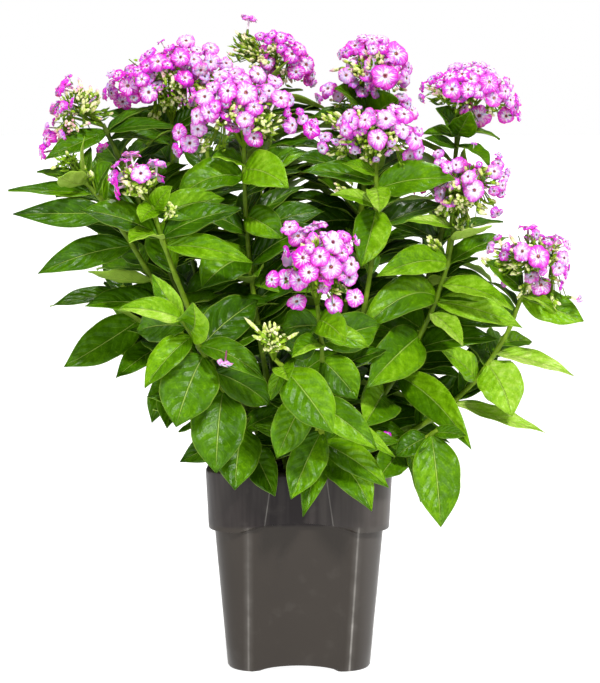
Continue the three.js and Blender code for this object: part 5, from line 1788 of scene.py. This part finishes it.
    def add_spray(self, height, place, spread, count, pinkness, draw):
        """Buds on a side shoot of the stem."""
        base = self.stem.axis(self.stem.share_at(height))
        middle = grid_point(*place)
        fork = base.lerp(middle, SHOOT_FORK)
        self.add_twig(base, fork, SHOOT_RADII, SHOOT_TONE)
        for _ in range(count):
            tip = middle + loose_way(draw) * (2 * spread * GRID)
            foot = tip - (tip - base).normalized() * pick(INNER_BUD_LENGTHS, draw)
            add_bud(self.body, foot, tip, pick(SPRAY_BUD_RADII, draw), pinkness * draw() * 2, draw)
            self.add_twig(fork, foot, (STALK_RADIUS, THIN_STALK_RADIUS), SHOOT_TONE)

    def add_inner_buds(self, count, draw):
        """Small buds and calyxes among the tubes, under the florets."""
        for way in even_ways(count, LOWEST_INNER_BUD):
            tip = self.centre + self.scaled(way) * pick(INNER_BUD_DEPTHS, draw)
            if self.spots and self.gap(tip) > INNER_BUD_REACH:
                tip = self.centre.lerp(tip, LONE_BUD_SHARE)
            base = tip - (tip - self.centre).normalized() * pick(INNER_BUD_LENGTHS, draw)
            radius = pick(INNER_BUD_RADII, draw)
            self.add_stalked_bud(base, tip, radius, 0.5 * draw(), INNER_BUD_GREEN, draw)


# ---------------------------------------------------------------- pot and soil


def pot_outline(half, radius, z, lift, inset):
    """One level of the pot: a square with round corners. inset(along) sinks each side, and lift
    raises its middle."""
    points = []
    straight = half - radius
    for k in range(4):
        turn = Matrix.Rotation(k * TURN / 4, 3, "Z")
        for i in range(SIDE_STEPS):
            along = straight * (2 * i / SIDE_STEPS - 1)
            raised = lift * max(1 - (along / (straight * ARCH_SPAN)) ** 2, 0) ** ARCH_BEND
            points.append(turn @ Vector((half - inset(along), along, z + raised)))
        for i in range(CORNER_STEPS):
            angle = i / CORNER_STEPS * TURN / 4
            out = straight + radius * math.cos(angle)
            points.append(turn @ Vector((out, straight + radius * math.sin(angle), z)))
    return points


def loft(rings):
    """A closed skin over rings of points, each ring extruded from the one before."""
    bm = bmesh.new()
    ring = bmesh.ops.create_circle(bm, segments=len(rings[0]), radius=1)["verts"]
    for vert, point in zip(ring, rings[0]):
        vert.co = point
    edges = bm.edges[:]
    bmesh.ops.contextual_create(bm, geom=edges)
    for points in rings[1:]:
        raised = bmesh.ops.extrude_edge_only(bm, edges=edges)["geom"]
        fresh = set(kinds_of(raised, bmesh.types.BMVert))
        edges = kinds_of(raised, bmesh.types.BMEdge)
        edges = [edge for edge in edges if all(vert in fresh for vert in edge.verts)]
        ring = [next(e.other_vert(v) for e in v.link_edges if e.other_vert(v) in fresh) for v in ring]
        for vert, point in zip(ring, points):
            vert.co = point
    bmesh.ops.contextual_create(bm, geom=edges)
    bmesh.ops.recalc_face_normals(bm, faces=bm.faces)
    return bm


def panel_inset(along):
    """The shallow panel of the body, deepest in the middle."""
    edge = 1 - smooth_step(PANEL_HALF, PANEL_HALF + PANEL_SLOPE, abs(along))
    dish = 1 - min(abs(along) / PANEL_HALF, 1)
    return PANEL_RECESS * edge * (1 + PANEL_DISH * dish)


def band_inset(share):
    """The faint tab that stands back in the middle of the rim's band, wider at its foot."""
    half = blend(TAB_FOOT_HALF, TAB_TOP_HALF, share)

    def inset(along):
        tab = 1 - smooth_step(half, half + TAB_SLOPE, abs(along))
        middle = smooth_step(0, BAND_FADE, RIM_HALF - BAND_CORNER - abs(along))
        return PANEL_RECESS * (BAND_RECESS + TAB_RECESS * tab) * middle

    return inset


def pot_skin():
    """The whole pot but its drains: up the outside, over the rim and down the inside."""
    band = POT_HEIGHT - RIM_BAND
    rings = [pot_outline(BOSS_HALF, BOSS_CORNER, 0, 0, lambda along: 0)]

    def add_body(half, z, lift, radius=CORNER_RADIUS):
        rings.append(pot_outline(half, radius, z, lift, panel_inset))

    def add_band(half, z, share, rounding=2):
        lift = BAND_ARCH * (1 - share)
        rings.append(pot_outline(half, CORNER_RADIUS + rounding, z, lift, band_inset(share)))

    for sunk, z in FOOT_ROUNDING:
        add_body(BODY_BASE_HALF - sunk, z, FOOT_ARCH)
    for i in range(1, BODY_LEVELS + 1):
        share = i / BODY_LEVELS
        z = blend(FOOT_ROUNDING[-1][1], band - BODY_BELOW_BAND, share)
        add_body(blend(BODY_BASE_HALF, BODY_TOP_HALF, share), z, blend(FOOT_ARCH, BAND_ARCH, share))
    for sunk, z in BAND_ROUNDING:
        add_band(RIM_HALF - RIM_FLARE - sunk, band + z, 0)
    for i in range(1, BAND_LEVELS + 1):
        share = i / BAND_LEVELS
        z = blend(band + BAND_ROUNDING[-1][1], POT_HEIGHT - RIM_ROUND, share)
        add_band(RIM_HALF - RIM_FLARE * (1 - share), z, share, 3)
    for sunk, z in RIM_ROUNDING:
        add_band(RIM_HALF - sunk, POT_HEIGHT + z, 1)
    add_band(RIM_HALF - POT_WALL - LIP_STEP, POT_HEIGHT - LIP_DEPTH, 1, 0)
    for half, z in ((BODY_TOP_HALF, band), (BODY_BASE_HALF, FOOT_ARCH + FLOOR_THICK)):
        add_body(half - POT_WALL, z, 0, CORNER_RADIUS - POT_WALL)
    return loft(rings)


def drill_drains(pot):
    """Cuts the round drain holes through the pot's floor."""
    drills = Body()
    for k in range(4):
        angle = (k + 0.5) * TURN / 4
        place = Vector((DRAIN_PLACE * math.cos(angle), DRAIN_PLACE * math.sin(angle), -1))
        spread = Matrix.Diagonal((DRAIN_RADIUS, DRAIN_RADIUS, FOOT_ARCH + FLOOR_THICK + 2))
        drills.add(DRILL, lambda point: place + spread @ point)
    bmesh.ops.scale(drills.bm, vec=(MM, MM, MM), verts=drills.bm.verts)
    tool = add_object("drills", block_mesh(drills.bm, "drills"))
    cut = pot.modifiers.new("drains", "BOOLEAN")
    cut.object = tool
    cut.solver = "EXACT"
    layers = bpy.context.evaluated_depsgraph_get()
    bored = bpy.data.meshes.new_from_object(pot.evaluated_get(layers))
    pot.modifiers.clear()
    pot.data = bored
    bpy.data.objects.remove(tool)


def add_crumbs(draw):
    """Bits of bark and grit lying on the soil, clear of the stems."""
    body = Body()
    roots = [Vector((*rows[0], SOIL_TOP)) for rows in STEMS.values()]
    for _ in range(CRUMB_COUNT):
        place = Vector(((2 * draw() - 1) * SOIL_HALF, (2 * draw() - 1) * SOIL_HALF, SOIL_TOP))
        size = CRUMB_LEAST + CRUMB_MORE * draw() ** 2
        near, far = sorted((abs(place.x), abs(place.y)))
        clear = min((place - root).length for root in roots) >= size + STEM_CLEAR
        if far + near * SOIL_ROUND > SOIL_HALF * SOIL_REACH or not clear:
            continue
        turn = Matrix.Rotation(draw() * TURN, 3, "Z") @ Matrix.Rotation((draw() - 0.5) * 0.8, 3, "X")
        stretch = 1 + 1.4 * draw()
        lean = draw() - 0.5

        def crumb(point):
            chip = Vector((point.x * stretch + lean * point.z, point.y * 0.8, (point.z - 0.35) * 0.9))
            return place + turn @ (chip * size)

        body.add(TWIG_ROD, crumb, tone=draw())
    add_piece(body.bm, "soil_crumbs", [soil_paint()])


# ---------------------------------------------------------------- making the plant

stems = {name: Stem(*rows) for name, rows in STEMS.items()}
heads = {name: Head(name, *rows) for name, rows in HEADS.items()}
crowd = Crowd()
LEAF_PAINTS = [leaf_top_paint(), leaf_under_paint(), stem_paint()]
wave_draw = make_draw(23)
pair_draw = make_draw(37)
looks_draw = make_draw(91)
filler_draw = make_draw(17)


def placed_leaves(name, stem):
    """A stem's own leaves, one by one: their body, their joints and the corners of their node."""
    body = Body()
    joints = []
    corners = Corners(f"leafy_stem_{name}")
    for row in LEAVES.get(name, ()):
        bends = list(placed_bends(stem, row[:7], wave_draw() - 0.5))
        leaf = corners.found(bends) or bends[0]
        crowd.take(leaf)
        tone = row[7] + PLACED_TONE_SPAN * (looks_draw() - 0.5)
        body.add(LEAF_SHEET, leaf.shape(looks_draw), tone, looks_draw())
        joints.append(min(stem.share_at(row[0]), LAST_LEAF))
    return body, joints, corners


def add_leaf(body, leaf, tones):
    """A leaf of a pair or of the filling, with a tone between two tones."""
    crowd.take(leaf)
    body.add(LEAF_SHEET, leaf.shape(looks_draw), pick(tones, looks_draw), looks_draw())


bodies = {name: placed_leaves(name, stem) for name, stem in stems.items()}
for name, stem in stems.items():
    body, joints, corners = bodies[name]
    for pair in pairs_of(stem, name in FRONT_ROW, pair_draw):
        leaf = corners.found(list(pair_bends(*pair)))
        if leaf:
            add_leaf(body, leaf, PAIR_TONES)
            joints.append((leaf.base - stem.start).length / stem.length)
for name, stem in stems.items():
    body, joints, corners = bodies[name]
    for row in INNER_LEAVES.get(name, ()):
        leaf = next(placed_bends(stem, row[:7], INNER_WAVE))
        crowd.take(leaf)
        body.add(LEAF_SHEET, leaf.shape(looks_draw), row[7], looks_draw())
    crowd.settle()
    for i in range(math.floor((stem.length - FILLER_START) / FILLER_STEP)):
        share = (FILLER_START + i * FILLER_STEP) / stem.length
        leaf = filler(stem, share, name in FRONT_ROW, crowd, filler_draw)
        if leaf:
            add_leaf(body, leaf, FILLER_TONES)
    tone = pick(STEM_TONES, looks_draw) - DARK_STEMS.get(name, 0)
    body.add(STEM_ROD, stem.shape(joints), tone, material=2)
    add_piece(body.bm, f"leaves_{name}", LEAF_PAINTS, [f"leafy_stem_{name}"])

HEAD_PAINTS = [
    petal_top_paint(), petal_back_paint(), tube_paint(), eye_paint(), bud_paint(), calyx_paint(),
    stem_paint(),
]
head_draw = make_draw(53)
FLORETS = [floret_block(head_draw) for _ in range(FLORET_KINDS)]
DROPPED_FLORET = floret_block(make_draw(5), True)
for name, head in heads.items():
    head.add_branches()
    head.add_florets(name.startswith("rear"), head_draw)
    for row in BUDS.get(name, ()):
        head.add_cluster(*row, head_draw)
    for row in TUBES.get(name, ()):
        head.add_tube(*row, head_draw)
    for row in SPRAYS.get(name, ()):
        head.add_spray(*row, head_draw)
    head.add_inner_buds(INNER_BUDS if name in FLORET_ROWS else REAR_INNER_BUDS, head_draw)
    add_piece(head.body.bm, f"head_{name}", HEAD_PAINTS, [f"flower_head_{name}"])

for name, place, facing, radius, paleness in FALLEN:
    body = Body()
    turn = turned_to(Vector(facing).normalized(), 0.4)
    spot = grid_point(*place)
    body.add(DROPPED_FLORET, lambda point: spot + turn @ (point * radius), paleness, 0.05)
    add_piece(body.bm, name, HEAD_PAINTS)

pot = add_piece(pot_skin(), "pot_moulding", [pot_paint()], ["pot"])
drill_drains(pot)
for face in pot.data.polygons:
    face.use_smooth = True
pot.data.set_sharp_from_angle(angle=math.radians(POT_SHARP_EDGE))

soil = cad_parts["soil"]
soil.data.materials.clear()
soil.data.materials.append(soil_paint())
add_crumbs(make_draw(71))

# ---------------------------------------------------------------- floor, light and camera


def add_floor():
    bm = bmesh.new()
    bmesh.ops.create_grid(bm, x_segments=1, y_segments=1, size=FLOOR_HALF)
    floor = add_object("floor", block_mesh(bm, "floor"))
    paint = material_paint("white_floor")
    glow = {"Emission_Color": (1, 1, 1, 1), "Emission_Strength": FLOOR_GLOW}
    white = paint.surface((0.3, 0.3, 0.3, 1), 0.8, specular=0.1, **glow)
    floor.data.materials.append(white)


def add_light(name, way, strength, softness):
    """A far lamp that shines along a direction, as soft as a sky of some degrees across."""
    lamp = bpy.data.lights.new(name, "SUN")
    lamp.energy = strength
    lamp.angle = math.radians(softness)
    add_object(name, lamp).rotation_euler = Vector(way).to_track_quat("-Z", "Y").to_euler()


def add_camera():
    lens = bpy.data.cameras.new("camera")
    lens.lens = EYE_REACH / GRID / IMAGE_HEIGHT * lens.sensor_width
    aside = (IMAGE_WIDTH / 2 - GRID_RIGHT) * GRID
    eye = Vector((aside, -EYE_BACK, EYE_HEIGHT)) * MM
    aim = Vector((aside, 0, AIM_HEIGHT)) * MM
    camera = add_object("camera", lens)
    camera.location = eye
    camera.rotation_euler = (aim - eye).to_track_quat("-Z", "Y").to_euler()
    bpy.context.scene.camera = camera


def add_surroundings():
    """A white backdrop, a soft light from all around, and a tall bright panel on each side."""
    studio = Paint(bpy.data.worlds.new("studio"))
    way = studio.node("ShaderNodeTexCoord", {}, output=0)
    aside = studio.node("ShaderNodeSeparateXYZ", {}, way, output=0)
    mirrored = studio.node("ShaderNodeLightPath", {}, output=3)
    plain = studio.node("ShaderNodeLightPath", {}, output=0)
    power = SKY_GLOW - mirrored * SKY_MIRROR_LOSS
    for place, half, strength in PANELS:
        power = power + aside.math("COMPARE", place, half) * strength
    white = (1, 1, 1, 1)
    soft = studio.node("ShaderNodeBackground", {}, white, power * AMBIENT)
    backdrop = studio.node("ShaderNodeBackground", {}, white, 1)
    either = studio.node("ShaderNodeMixShader", {}, plain, soft, backdrop)
    studio.node("ShaderNodeOutputWorld", {}, either)
    bpy.context.scene.world = studio.owner
    bpy.context.scene.view_settings.view_transform = "Standard"


add_floor()
for name, (way, strength, softness) in LAMPS.items():
    add_light(name, way, strength, softness)
add_camera()
add_surroundings()
